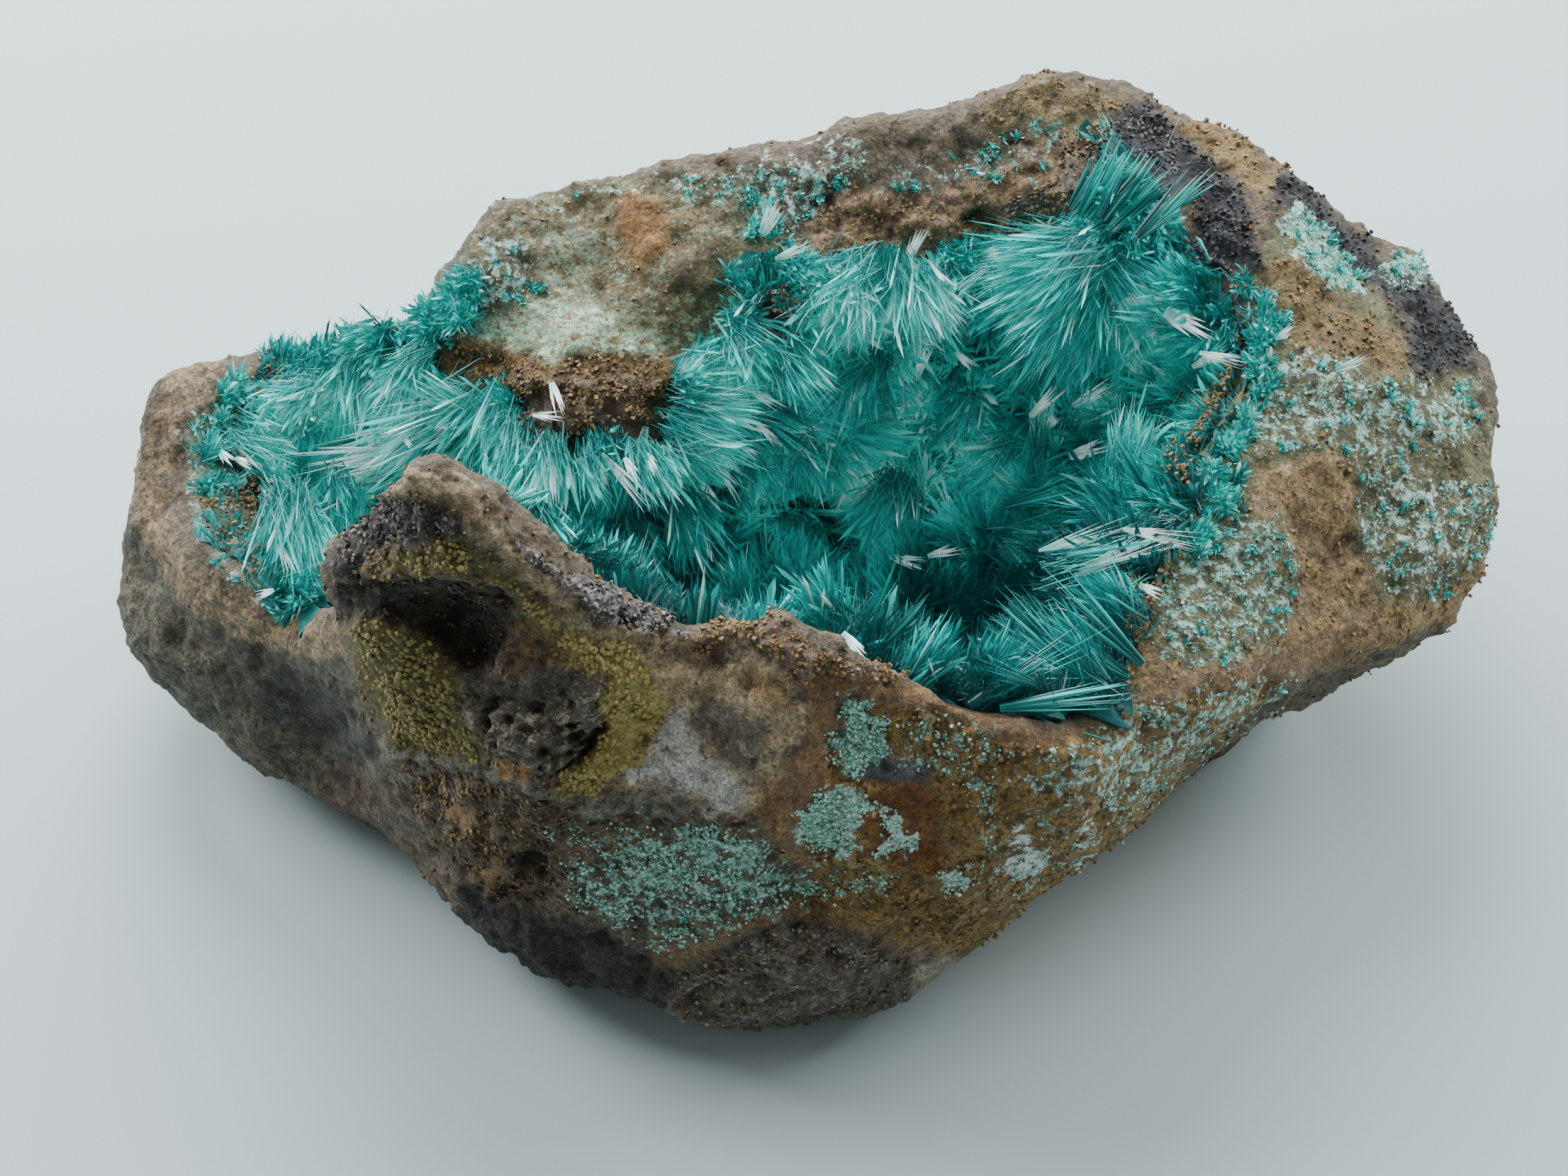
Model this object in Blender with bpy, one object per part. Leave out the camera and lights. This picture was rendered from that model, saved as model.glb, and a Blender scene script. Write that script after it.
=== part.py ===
# Aurichalcite specimen: a brown rock with a hollow full of radiating blue-green crystals.
# The rock is one solid. The crystals that line its hollow are one crust.

import random

import bmesh
import bpy
from mathutils import Vector, noise
from mathutils.bvhtree import BVHTree

MM = 0.001

# Sizes of the rock, in millimetres
VOXEL = 0.5
ROCK_TRIANGLES = 4400
LUMP_SIZE = 6.0
LUMP_HEIGHT = 1.3
CHIP_SIZE = 3.4
CHIP_HEIGHT = 1.1

# Sizes of the crystal crust, in millimetres
GAP = 0.3
CRUST_DEPTH = 0.7
LONGEST_EDGE = 3.2
LOWEST_CRYSTAL = 6.0
TUFT_SPACING = 4.4
TUFT_ROOT = 1.4
TUFT_REACH = 5.0
BLOCK_PLACE = (16.5, 18.5)
BLOCK_RADIUS = 2.6
BLOCK_HEIGHT = 3.0

# Closed rings round the rock, clockwise from its left end, seen from above. Each has 28 points:
# left end, five along the back saddle, back crest, peak, right end, front ridge, spike, left rim.
LOW = [
    (-35, 4, 4), (-32, 10, 5), (-28, 13, 4), (-23, 14, 4), (-17, 17, 4), (-12, 20, 5), (-6, 21, 5),
    (1, 22, 5), (7, 24, 6), (13, 25, 7), (21, 22, 7), (25, 18, 7), (28, 15, 6), (30, 10, 6),
    (30, 4, 5), (27, 0, 4), (21, -4, 4), (16, -9, 4), (10, -14, 4), (5, -18, 4), (-1, -20, 4),
    (-6, -21, 4), (-12, -17, 4), (-16, -16, 5), (-19, -12, 5), (-24, -8, 4), (-28, -5, 4), (-32, -2, 4),
]
BELLY = [
    (-36, 4, 9), (-34, 9, 14), (-29, 15, 10), (-23, 16, 10), (-18, 18, 12), (-13, 21, 14), (-6, 23, 15),
    (1, 24, 16), (8, 26, 17), (15, 27, 18), (24, 25, 16), (29, 20, 16), (34, 17, 13), (35, 11, 12),
    (35, 5, 11), (32, -1, 9), (25, -5, 10), (19, -9, 9), (13, -14, 8), (7, -18, 8), (0, -20, 9),
    (-6, -19, 10), (-11, -18, 11), (-16, -16, 12), (-21, -11, 12), (-24, -6, 9), (-30, -4, 9), (-35, -1, 9),
]
FLANK = [
    (-35, 5, 13), (-34, 10, 17), (-29, 14, 15), (-23, 15, 15), (-19, 16, 17), (-14, 19, 20), (-7, 21, 21),
    (1, 22, 22), (8, 24, 23), (15, 26, 24), (24, 23, 22), (29, 20, 20), (34, 18, 16), (36, 12, 14),
    (36, 5, 13), (33, -1, 11), (26, -5, 12), (20, -10, 14), (14, -15, 14), (8, -18, 16), (0, -18, 18),
    (-7, -16, 18), (-13, -15, 19), (-17, -13, 21), (-22, -10, 19), (-25, -5, 12), (-29, -3, 13), (-33, 0, 13),
]
CREST = [
    (-31, 5, 16), (-32, 11, 18), (-28, 12, 17), (-24, 13, 17), (-20, 13, 20), (-15, 17, 24), (-7, 18, 25),
    (0, 19, 26), (7, 21, 27), (14, 23, 27), (23, 21, 25), (28, 19, 22), (33, 17, 18), (36, 12, 16),
    (36, 5, 15), (33, 0, 13), (26, -6, 14), (20, -10, 19), (13, -15, 19), (6, -14, 24), (-1, -12, 26),
    (-8, -12, 25), (-13, -11, 29), (-17, -9, 34), (-23, -8, 26), (-25, -5, 15), (-28, -2, 16), (-31, 1, 16),
]
LIP = [
    (-29, 4, 15), (-30, 11, 17), (-28, 11, 16), (-24, 12, 16), (-20, 11, 17), (-15, 8, 17), (-9, 6, 18),
    (-4, 10, 19), (3, 15, 22), (13, 17, 24), (20, 14, 24), (22, 12, 24), (23, 9, 23), (22, 5, 23),
    (20, 1, 22), (18, -3, 22), (17, -8, 21), (15, -11, 19), (12, -14, 19), (5, -13, 22), (-1, -11, 25),
    (-7, -11, 24), (-12, -9, 28), (-17, -7, 31), (-21, -6, 25), (-24, -4, 15), (-27, -2, 15), (-29, 1, 15),
]
WALL = [
    (-27, 5, 12), (-27, 9, 13), (-25, 10, 13), (-22, 10, 13), (-19, 8, 13), (-14, 6, 13), (-8, 5, 13),
    (-3, 9, 13), (4, 13, 14), (12, 15, 15), (17, 13, 15), (19, 11, 15), (20, 8, 15), (19, 5, 15),
    (18, 2, 14), (16, -2, 14), (14, -6, 14), (12, -8, 14), (9, -10, 14), (4, -9, 14), (-1, -8, 15),
    (-7, -7, 15), (-11, -6, 16), (-16, -5, 18), (-20, -4, 16), (-22, -3, 12), (-25, 0, 12), (-27, 2, 12),
]
FLOOR = [
    (-23, 5, 10), (-23, 7, 10), (-21, 8, 10), (-18, 7, 9), (-15, 5, 9), (-12, 3, 8), (-8, 2, 8),
    (-3, 6, 8), (3, 10, 8), (9, 11, 8), (13, 10, 9), (15, 8, 9), (15, 6, 9), (15, 4, 9),
    (14, 2, 9), (13, 0, 9), (11, -2, 9), (9, -4, 9), (6, -5, 9), (2, -5, 8), (-2, -4, 8),
    (-6, -4, 8), (-10, -3, 9), (-14, -2, 9), (-18, -1, 10), (-20, 0, 10), (-22, 2, 10), (-23, 4, 10),
]

# Lumps (height above 0) and dents (below 0) on the rock: x, y, z, radius, height
MARKS = [
    (-17, -12, 25, 3.2, -1.6),
    (-13, -14, 19, 3.0, 1.0),
    (-12, 8, 18, 4.0, 1.2),
    (-6, 8, 19, 3.0, 0.9),
    (-1, -13, 26, 1.8, 0.7),
    (-10, -16, 15, 2.6, -1.0),
    (0, -19, 13, 3.5, -1.1),
    (-19, -14, 9, 2.5, -1.2),
    (8, -18, 12, 3.5, 1.0),
    (-34, 2, 12, 3.0, -1.0),
    (-10, 13, 22, 3.5, -1.0),
    (30, 8, 18, 4.0, 0.7),
    (-15, -15, 9, 3.0, -1.2),
    (-5, -19, 7, 4.0, -0.9),
    (12, -15, 15, 3.0, 0.9),
]

# Edge of the crystals, seen from above; at the back right it runs out to a block of blades on the rim
CRYSTAL_EDGE = [
    (-30, 0), (-30, 4), (-30, 10), (-27, 12), (-23, 13), (-20, 12), (-18, 9), (-14, 7), (-10, 6),
    (-6, 6), (-4, 10), (-3, 14), (4, 14), (11, 16), (14, 20), (19, 20), (19, 15), (23, 12),
    (22, 5), (20, 0), (18, -5), (16, -11), (12, -14), (5, -12), (-2, -10), (-8, -9), (-13, -7),
    (-18, -5), (-22, -3), (-25, -4), (-28, -2),
]


def clear_scene():
    for obj in list(bpy.data.objects):
        bpy.data.objects.remove(obj)


def add_material(obj, name, color, roughness):
    material = bpy.data.materials.new(name)
    material.use_nodes = True
    shader = material.node_tree.nodes["Principled BSDF"]
    shader.inputs["Base Color"].default_value = color
    shader.inputs["Roughness"].default_value = roughness
    shader.inputs["Metallic"].default_value = 0.0
    obj.data.materials.append(material)


def add_object(name, bm):
    mesh = bpy.data.meshes.new(name)
    bm.to_mesh(mesh)
    bm.free()
    obj = bpy.data.objects.new(name, mesh)
    bpy.context.collection.objects.link(obj)
    return obj


def close_ring(bm, ring, faces_up):
    # The points of the back half are joined across to those of the front half
    half = len(ring) // 2
    for i in range(half - 1):
        corners = [ring[i], ring[-1 - i], ring[-2 - i], ring[i + 1]]
        if not faces_up:
            corners.reverse()
        bm.faces.new(corners)


def rock_cage():
    bm = bmesh.new()
    foot = [(x * 0.84, y * 0.84, -1.0) for x, y, z in LOW]
    rings = []
    for points in (foot, LOW, BELLY, FLANK, CREST, LIP, WALL, FLOOR):
        rings.append([bm.verts.new(Vector(point)) for point in points])
    for outer, inner in zip(rings, rings[1:]):
        for i in range(len(outer)):
            j = (i + 1) % len(outer)
            bm.faces.new((outer[j], outer[i], inner[i], inner[j]))
    close_ring(bm, rings[-1], True)
    close_ring(bm, rings[0], False)
    bmesh.ops.recalc_face_normals(bm, faces=bm.faces)
    bmesh.ops.subdivide_edges(bm, edges=bm.edges, cuts=3, smooth=0.2, use_grid_fill=True)
    return bm


def evaluated_bmesh(obj):
    depsgraph = bpy.context.evaluated_depsgraph_get()
    bm = bmesh.new()
    bm.from_object(obj, depsgraph)
    bpy.data.objects.remove(obj)
    return bm


def remeshed(bm):
    obj = add_object("rock_cage", bm)
    voxels = obj.modifiers.new("voxels", "REMESH")
    voxels.mode = "VOXEL"
    voxels.voxel_size = VOXEL
    return evaluated_bmesh(obj)


def decimated(bm, triangles):
    bmesh.ops.triangulate(bm, faces=bm.faces)
    ratio = triangles / len(bm.faces)
    obj = add_object("rock_fine", bm)
    fewer = obj.modifiers.new("fewer", "DECIMATE")
    fewer.ratio = ratio
    return evaluated_bmesh(obj)


def mark_height(point):
    height = 0.0
    for x, y, z, radius, mark in MARKS:
        distance = (point - Vector((x, y, z))).length / radius
        if distance < 1.0:
            height += mark * (1.0 - distance * distance) ** 2
    return height


def roughen(bm):
    # Broad lumps, angular chips and the single lumps and dents, all along the surface's own normal
    bm.normal_update()
    shifts = []
    for vert in bm.verts:
        place = vert.co
        lump = noise.noise(place / LUMP_SIZE) * LUMP_HEIGHT
        edges, _ = noise.voronoi(place / CHIP_SIZE)
        chip = (edges[1] - edges[0] - 0.35) * CHIP_HEIGHT
        shifts.append(vert.normal * (lump - chip + mark_height(place)))
    for vert, shift in zip(bm.verts, shifts):
        vert.co += shift


def cut_flat_base(bm):
    geometry = bm.verts[:] + bm.edges[:] + bm.faces[:]
    cut = bmesh.ops.bisect_plane(bm, geom=geometry, plane_co=(0, 0, 0), plane_no=(0, 0, -1), clear_outer=True)
    rim = [item for item in cut["geom_cut"] if isinstance(item, bmesh.types.BMEdge)]
    base = bmesh.ops.contextual_create(bm, geom=rim)
    bmesh.ops.triangulate(bm, faces=base["faces"], ngon_method="BEAUTY")
    bmesh.ops.recalc_face_normals(bm, faces=bm.faces)


def build_rock():
    bm = remeshed(rock_cage())
    roughen(bm)
    bm = decimated(bm, ROCK_TRIANGLES)
    cut_flat_base(bm)
    return bm


def inside_outline(outline, x, y):
    inside = False
    for (x1, y1), (x2, y2) in zip(outline, outline[1:] + outline[:1]):
        if (y1 > y) != (y2 > y) and x < x1 + (x2 - x1) * (y - y1) / (y2 - y1):
            inside = not inside
    return inside


def edge_distance(outline, x, y):
    place = Vector((x, y))
    nearest = 1000.0
    for start, end in zip(outline, outline[1:] + outline[:1]):
        start, end = Vector(start), Vector(end)
        along = (place - start).dot(end - start) / (end - start).length_squared
        closest = start.lerp(end, min(1.0, max(0.0, along)))
        nearest = min(nearest, (place - closest).length)
    return nearest


def outward_steps(bm):
    # Smoothed way out of the rock at each corner, long enough to clear every face that meets there
    bm.normal_update()
    steps = {vert: vert.normal.copy() for vert in bm.verts}
    for _ in range(2):
        blended = {}
        for vert in bm.verts:
            total = steps[vert] * 2.0
            for edge in vert.link_edges:
                total += steps[edge.other_vert(vert)]
            blended[vert] = total.normalized()
        steps = blended
    for vert, step in steps.items():
        steepest = min(step.dot(face.normal) for face in vert.link_faces)
        step /= max(0.45, steepest)
    return steps


def hollow_patch(rock):
    # The rock's own faces under the crystals, so that the crust follows them at an even gap
    bm = rock.copy()
    outward = bm.verts.layers.float_vector.new("outward")
    for vert, step in outward_steps(bm).items():
        vert[outward] = step
    others = []
    for face in bm.faces:
        middle = face.calc_center_median()
        if middle.z < LOWEST_CRYSTAL or not inside_outline(CRYSTAL_EDGE, middle.x, middle.y):
            others.append(face)
    bmesh.ops.delete(bm, geom=others, context="FACES")
    keep_one_sheet(bm)
    long_edges = [edge for edge in bm.edges if edge.calc_length() > LONGEST_EDGE]
    bmesh.ops.subdivide_edges(bm, edges=long_edges, cuts=1)
    bmesh.ops.triangulate(bm, faces=bm.faces)
    bm.normal_update()
    return bm


def islands_of(bm):
    waiting = set(bm.faces)
    islands = []
    while waiting:
        queue = [waiting.pop()]
        island = []
        while queue:
            face = queue.pop()
            island.append(face)
            for edge in face.edges:
                for neighbour in edge.link_faces:
                    if neighbour in waiting:
                        waiting.remove(neighbour)
                        queue.append(neighbour)
        islands.append(island)
    return sorted(islands, key=len)


def keep_one_sheet(bm):
    # One sheet of faces, whose edge never touches itself at a corner
    while True:
        spare = set()
        for island in islands_of(bm)[:-1]:
            spare.update(island)
        if not spare:
            for vert in bm.verts:
                if sum(edge.is_boundary for edge in vert.link_edges) > 2:
                    spare.update(vert.link_faces)
        if not spare:
            break
        bmesh.ops.delete(bm, geom=list(spare), context="FACES")


def plant_tufts(patch):
    # Middles of the radiating tufts, spread evenly over the patch
    order = list(patch.faces)
    random.Random(11).shuffle(order)
    tufts = []
    for face in order:
        middle = face.calc_center_median()
        if all((middle - place).length > TUFT_SPACING for place, _ in tufts):
            tufts.append((middle, face.normal.copy()))
    return tufts


def crystal_tip(middle, normal, tufts, rock_tree, chance):
    # Crystals of a tuft point away from one place below its middle, and shrink towards its edge
    near = sorted(tufts, key=lambda tuft: (tuft[0] - middle).length_squared)[:2]
    first = (near[0][0] - middle).length
    second = (near[1][0] - middle).length
    root = near[0][0] - near[0][1] * TUFT_ROOT
    away = (middle - root).normalized()
    if away.dot(normal) < 0.5:
        away = (away + normal).normalized()
    share = 2.0 * first / (first + second)
    reach = (TUFT_REACH - TUFT_ROOT) * (1.0 - 0.72 * share * share)
    reach *= min(1.0, 0.3 + edge_distance(CRYSTAL_EDGE, middle.x, middle.y) / 4.0)
    reach *= chance.uniform(0.7, 1.1)
    block = (Vector((middle.x, middle.y)) - Vector(BLOCK_PLACE)).length
    if block < BLOCK_RADIUS:
        away = (Vector((-0.15, -0.25, 1.0)) + normal * 0.3).normalized()
        reach = BLOCK_HEIGHT * chance.uniform(0.8, 1.0)
    wall = rock_tree.ray_cast(middle, away, reach * 2.0)[3]
    if wall is not None:
        reach = min(reach, wall * 0.5)
    return middle + away * reach


def build_crust(rock):
    patch = hollow_patch(rock)
    outward = patch.verts.layers.float_vector["outward"]
    tufts = plant_tufts(patch)
    rock_tree = BVHTree.FromBMesh(rock)
    chance = random.Random(5)
    bm = bmesh.new()
    under, over = {}, {}
    for vert in patch.verts:
        depth = CRUST_DEPTH * (0.4 if vert.is_boundary else 1.0)
        under[vert] = bm.verts.new(vert.co + vert[outward] * GAP)
        over[vert] = bm.verts.new(vert.co + vert[outward] * (GAP + depth))
    for face in patch.faces:
        bm.faces.new([under[vert] for vert in reversed(face.verts)])
        middle = sum((over[vert].co for vert in face.verts), Vector()) / 3.0
        tip = bm.verts.new(crystal_tip(middle, face.normal, tufts, rock_tree, chance))
        for loop in face.loops:
            bm.faces.new((over[loop.vert], over[loop.link_loop_next.vert], tip))
    for edge in patch.edges:
        if edge.is_boundary:
            loop = edge.link_loops[0]
            start, end = loop.vert, loop.link_loop_next.vert
            bm.faces.new((under[start], under[end], over[end], over[start]))
    patch.free()
    bmesh.ops.triangulate(bm, faces=bm.faces)
    bmesh.ops.recalc_face_normals(bm, faces=bm.faces)
    return bm


def centre_and_scale(objects):
    # The origin is the middle of the footprint, at the height of the flat base
    corners = [vert.co for obj in objects for vert in obj.data.vertices]
    middle_x = (min(co.x for co in corners) + max(co.x for co in corners)) / 2.0
    middle_y = (min(co.y for co in corners) + max(co.y for co in corners)) / 2.0
    for obj in objects:
        for vert in obj.data.vertices:
            vert.co = (vert.co - Vector((middle_x, middle_y, 0.0))) * MM


def main():
    clear_scene()
    rock = build_rock()
    crust = build_crust(rock)
    matrix = add_object("matrix", rock)
    crystals = add_object("aurichalcite_crust", crust)
    centre_and_scale([matrix, crystals])
    add_material(matrix, "brown limonite rock", (0.13, 0.085, 0.045, 1.0), 0.85)
    add_material(crystals, "blue-green aurichalcite", (0.05, 0.42, 0.38, 1.0), 0.4)


main()
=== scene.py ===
import math

import bmesh
import bpy
import numpy as np
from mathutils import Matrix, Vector, noise
from mathutils.bvhtree import BVHTree
from mathutils.kdtree import KDTree


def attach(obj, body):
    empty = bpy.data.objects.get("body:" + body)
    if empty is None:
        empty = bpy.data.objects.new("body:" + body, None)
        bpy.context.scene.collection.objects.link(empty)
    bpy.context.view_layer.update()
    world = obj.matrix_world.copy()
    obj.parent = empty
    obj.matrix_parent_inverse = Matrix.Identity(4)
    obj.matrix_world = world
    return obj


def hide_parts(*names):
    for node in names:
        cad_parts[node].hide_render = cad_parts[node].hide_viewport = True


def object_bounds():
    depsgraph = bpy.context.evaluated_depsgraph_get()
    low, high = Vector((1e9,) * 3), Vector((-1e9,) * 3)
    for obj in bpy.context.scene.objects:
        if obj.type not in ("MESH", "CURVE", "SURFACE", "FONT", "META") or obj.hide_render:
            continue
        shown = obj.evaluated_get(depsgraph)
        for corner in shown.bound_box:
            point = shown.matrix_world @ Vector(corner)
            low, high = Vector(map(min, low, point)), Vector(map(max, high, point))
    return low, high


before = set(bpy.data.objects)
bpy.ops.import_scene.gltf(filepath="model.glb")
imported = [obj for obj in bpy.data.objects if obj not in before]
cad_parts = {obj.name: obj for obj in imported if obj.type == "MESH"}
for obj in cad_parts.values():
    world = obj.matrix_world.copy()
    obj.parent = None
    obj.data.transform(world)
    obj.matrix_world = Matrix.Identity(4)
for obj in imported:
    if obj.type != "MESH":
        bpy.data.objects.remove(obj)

mm = 0.001
solidBox = [list(corner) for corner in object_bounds()]

# The front view: the camera looks from here, and the outlines of the rock's coats
# are drawn on its board, 2000 wide and 1500 high with the corner at the top left
frontView = {
    "aim": (-1.427, -3.431, 13.0),
    "distance": 190.0,
    "elevation": 52.0,
    "lens": 85.0,
    "filmWidth": 36.0,
    "board": (2000.0, 1500.0),
}


# Small helpers

def cadMesh(nodeName):
    # a merged copy of a solid's mesh, in millimetres
    bm = bmesh.new()
    bm.from_mesh(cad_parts[nodeName].data)
    bmesh.ops.remove_doubles(bm, verts=bm.verts, dist=1e-6)
    bmesh.ops.scale(bm, vec=(1 / mm, 1 / mm, 1 / mm), verts=bm.verts)
    bm.normal_update()
    return bm


def newPiece(name, bm, material):
    # bm is in millimetres and is used up
    bmesh.ops.scale(bm, vec=(mm, mm, mm), verts=bm.verts)
    mesh = bpy.data.meshes.new(name)
    bm.to_mesh(mesh)
    bm.free()
    return placePiece(name, mesh, material)


def placePiece(name, mesh, material):
    piece = bpy.data.objects.new(name, mesh)
    bpy.context.scene.collection.objects.link(piece)
    mesh.materials.append(material)
    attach(piece, "root")
    return piece


def smoothStep(low, high, value):
    share = np.clip((value - low) / (high - low), 0.0, 1.0)
    return share * share * (3.0 - 2.0 * share)


def noiseField(points, size, offset=0.0):
    shift = Vector((offset, offset, offset))
    return np.array([noise.noise(Vector(p) / size + shift) for p in points.tolist()])


def cellField(points, size):
    # distance to the middle of the nearest cell, in cells
    return np.array([noise.voronoi(Vector(p) / size)[0][0] for p in points.tolist()])


def spotWeight(points, spots, jitter, soft=0.5):
    # how far inside the nearest spot (x, y, z, radius) each point lies, from 0 to 1
    depth = np.full(len(points), -9.0)
    for x, y, z, radius in spots:
        distance = np.linalg.norm(points - np.array((x, y, z)), axis=1)
        depth = np.maximum(depth, radius - distance)
    return smoothStep(-soft, soft, depth + jitter)


def viewAxes():
    # the eye, and the directions to its right, up and back, in millimetres
    tilt = math.radians(frontView["elevation"])
    back = np.array((0.0, -math.cos(tilt), math.sin(tilt)))
    up = np.array((0.0, math.sin(tilt), math.cos(tilt)))
    eye = np.array(frontView["aim"]) + back * frontView["distance"]
    return eye, np.array((1.0, 0.0, 0.0)), up, back


def drawnPlaces(points):
    # where each point lies on the board of the front view
    eye, right, up, back = viewAxes()
    width, height = frontView["board"]
    offset = points - eye
    scale = frontView["lens"] / frontView["filmWidth"] * width / -(offset @ back)
    return np.column_stack([width / 2 + offset @ right * scale, height / 2 - offset @ up * scale])


def insideDepth(places, outline):
    # distance of each place from the outline, in board units, positive inside
    corners = np.array(outline, dtype=float)
    nearest = np.full(len(places), 1e9)
    inside = np.zeros(len(places), dtype=bool)
    for start, end in zip(corners, np.roll(corners, -1, axis=0)):
        side = end - start
        along = np.clip((places - start) @ side / (side @ side), 0.0, 1.0)
        gap = np.linalg.norm(places - start - along[:, None] * side, axis=1)
        nearest = np.minimum(nearest, gap)
        between = (start[1] > places[:, 1]) != (end[1] > places[:, 1])
        crossing = start[0] + (places[:, 1] - start[1]) * side[0] / (side[1] or 1e-9)
        inside ^= between & (places[:, 0] < crossing)
    return np.where(inside, nearest, -nearest)


def seenFromFront(points, normals, *solids):
    # which points of a surface no solid hides from the eye
    eye, _, _, back = viewAxes()
    seen = (normals @ back) > -0.15
    trees = [BVHTree.FromBMesh(solid) for solid in solids]
    for i in np.nonzero(seen)[0]:
        start = Vector(points[i] + normals[i] * 0.35 + back * 0.35)
        ray = Vector(eye) - start
        seen[i] = all(tree.ray_cast(start, ray)[0] is None for tree in trees)
    return seen


# Shader node helpers

def addNode(tree, kind, **sockets):
    node = tree.nodes.new(kind)
    for name, value in sockets.items():
        node.inputs[name.replace("_", " ")].default_value = value
    return node


def feed(tree, value, socket):
    if isinstance(value, bpy.types.NodeSocket):
        tree.links.new(value, socket)
    elif value is not None:
        socket.default_value = value


def mathNode(tree, operation, first, second=None, clamp=False):
    node = tree.nodes.new("ShaderNodeMath")
    node.operation = operation
    node.use_clamp = clamp
    feed(tree, first, node.inputs[0])
    feed(tree, second, node.inputs[1])
    return node.outputs[0]


def mixColor(tree, factor, first, second, blend="MIX"):
    node = tree.nodes.new("ShaderNodeMix")
    node.data_type = "RGBA"
    node.blend_type = blend
    feed(tree, factor, node.inputs[0])
    feed(tree, first, node.inputs[6])
    feed(tree, second, node.inputs[7])
    return node.outputs[2]


def noiseNode(tree, vector, size, detail=3.0, rough=0.6):
    # size is that of one blotch, in metres
    node = addNode(tree, "ShaderNodeTexNoise", Detail=detail, Roughness=rough)
    tree.links.new(vector, node.inputs["Vector"])
    if isinstance(size, bpy.types.NodeSocket):
        tree.links.new(mathNode(tree, "DIVIDE", 1.0, size), node.inputs["Scale"])
    else:
        node.inputs["Scale"].default_value = 1.0 / size
    return node.outputs["Fac"]


def rampNode(tree, factor, stops):
    node = tree.nodes.new("ShaderNodeValToRGB")
    ramp = node.color_ramp
    for i, (place, color) in enumerate(stops):
        stop = ramp.elements[i] if i < 2 else ramp.elements.new(place)
        stop.position = place
        stop.color = (*color, 1.0)
    tree.links.new(factor, node.inputs["Fac"])
    return node.outputs["Color"]


def stretched(tree, factor, low, high):
    node = addNode(tree, "ShaderNodeMapRange", From_Min=low, From_Max=high)
    node.interpolation_type = "SMOOTHSTEP"
    tree.links.new(factor, node.inputs["Value"])
    return node.outputs["Result"]


def newGroup(name, inputs, output, kind):
    group = bpy.data.node_groups.new(name, "ShaderNodeTree")
    for socketName, socketKind in inputs:
        group.interface.new_socket(socketName, in_out="INPUT", socket_type="NodeSocket" + socketKind)
    group.interface.new_socket(output, in_out="OUTPUT", socket_type="NodeSocket" + kind)
    return group, group.nodes.new("NodeGroupInput").outputs, group.nodes.new("NodeGroupOutput").inputs[0]


def makeMottleGroup():
    # breaks a plain colour into lighter and darker grains of two sizes
    inputs = [("Vector", "Vector"), ("Color", "Color"), ("Amount", "Float"),
              ("Blotch Size", "Float"), ("Grain Size", "Float")]
    group, given, result = newGroup("mottle", inputs, "Color", "Color")
    blotch = noiseNode(group, given["Vector"], given["Blotch Size"], 4.0)
    grain = noiseNode(group, given["Vector"], given["Grain Size"], 3.0, 0.75)
    both = mathNode(group, "ADD", stretched(group, blotch, 0.3, 0.7), stretched(group, grain, 0.34, 0.66))
    swing = mathNode(group, "MULTIPLY", mathNode(group, "SUBTRACT", both, 1.0), given["Amount"])
    node = group.nodes.new("ShaderNodeVectorMath")
    node.operation = "SCALE"
    group.links.new(given["Color"], node.inputs[0])
    group.links.new(mathNode(group, "POWER", 2.0, swing), node.inputs["Scale"])
    group.links.new(node.outputs[0], result)
    return group


def makePatchGroup():
    # a crisp, ragged mask that fills the surface as Cover goes from 0 to 1
    inputs = [("Vector", "Vector"), ("Cover", "Float"), ("Size", "Float"), ("Edge", "Float")]
    group, given, result = newGroup("ragged patches", inputs, "Mask", "Float")
    spread = stretched(group, noiseNode(group, given["Vector"], given["Size"], 5.0, 0.68), 0.28, 0.72)
    over = mathNode(group, "SUBTRACT", mathNode(group, "ADD", spread, given["Cover"]), 1.0)
    group.links.new(mathNode(group, "DIVIDE", over, given["Edge"], clamp=True), result)
    return group


def makeGritGroup():
    # the height of packed grains with fine dust over them, for a bump
    inputs = [("Vector", "Vector"), ("Size", "Float"), ("Amount", "Float")]
    group, given, result = newGroup("grit", inputs, "Height", "Float")
    cells = group.nodes.new("ShaderNodeTexVoronoi")
    cells.feature = "SMOOTH_F1"
    cells.inputs["Smoothness"].default_value = 0.4
    group.links.new(given["Vector"], cells.inputs["Vector"])
    group.links.new(mathNode(group, "DIVIDE", 1.0, given["Size"]), cells.inputs["Scale"])
    grains = mathNode(group, "SUBTRACT", 0.7, cells.outputs["Distance"])
    dust = noiseNode(group, given["Vector"], mathNode(group, "MULTIPLY", given["Size"], 0.8), 5.0, 0.75)
    both = mathNode(group, "ADD", grains, mathNode(group, "MULTIPLY", dust, 1.6))
    group.links.new(mathNode(group, "MULTIPLY", both, given["Amount"]), result)
    return group


mottleGroup = makeMottleGroup()
patchGroup = makePatchGroup()
gritGroup = makeGritGroup()


def newMaterial(name):
    material = bpy.data.materials.new(name)
    material.use_nodes = True
    tree = material.node_tree
    return material, tree, tree.nodes["Principled BSDF"]


def useGroup(tree, group, vector, **values):
    node = tree.nodes.new("ShaderNodeGroup")
    node.node_tree = group
    tree.links.new(vector, node.inputs["Vector"])
    for name, value in values.items():
        feed(tree, value, node.inputs[name.replace("_", " ")])
    return node.outputs[0]


def attribute(tree, name, output="Fac"):
    node = tree.nodes.new("ShaderNodeAttribute")
    node.attribute_name = name
    return node.outputs[output]


# The rock: each coat lies over the ones before it. Colours are linear, outlines are drawn on the board

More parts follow.
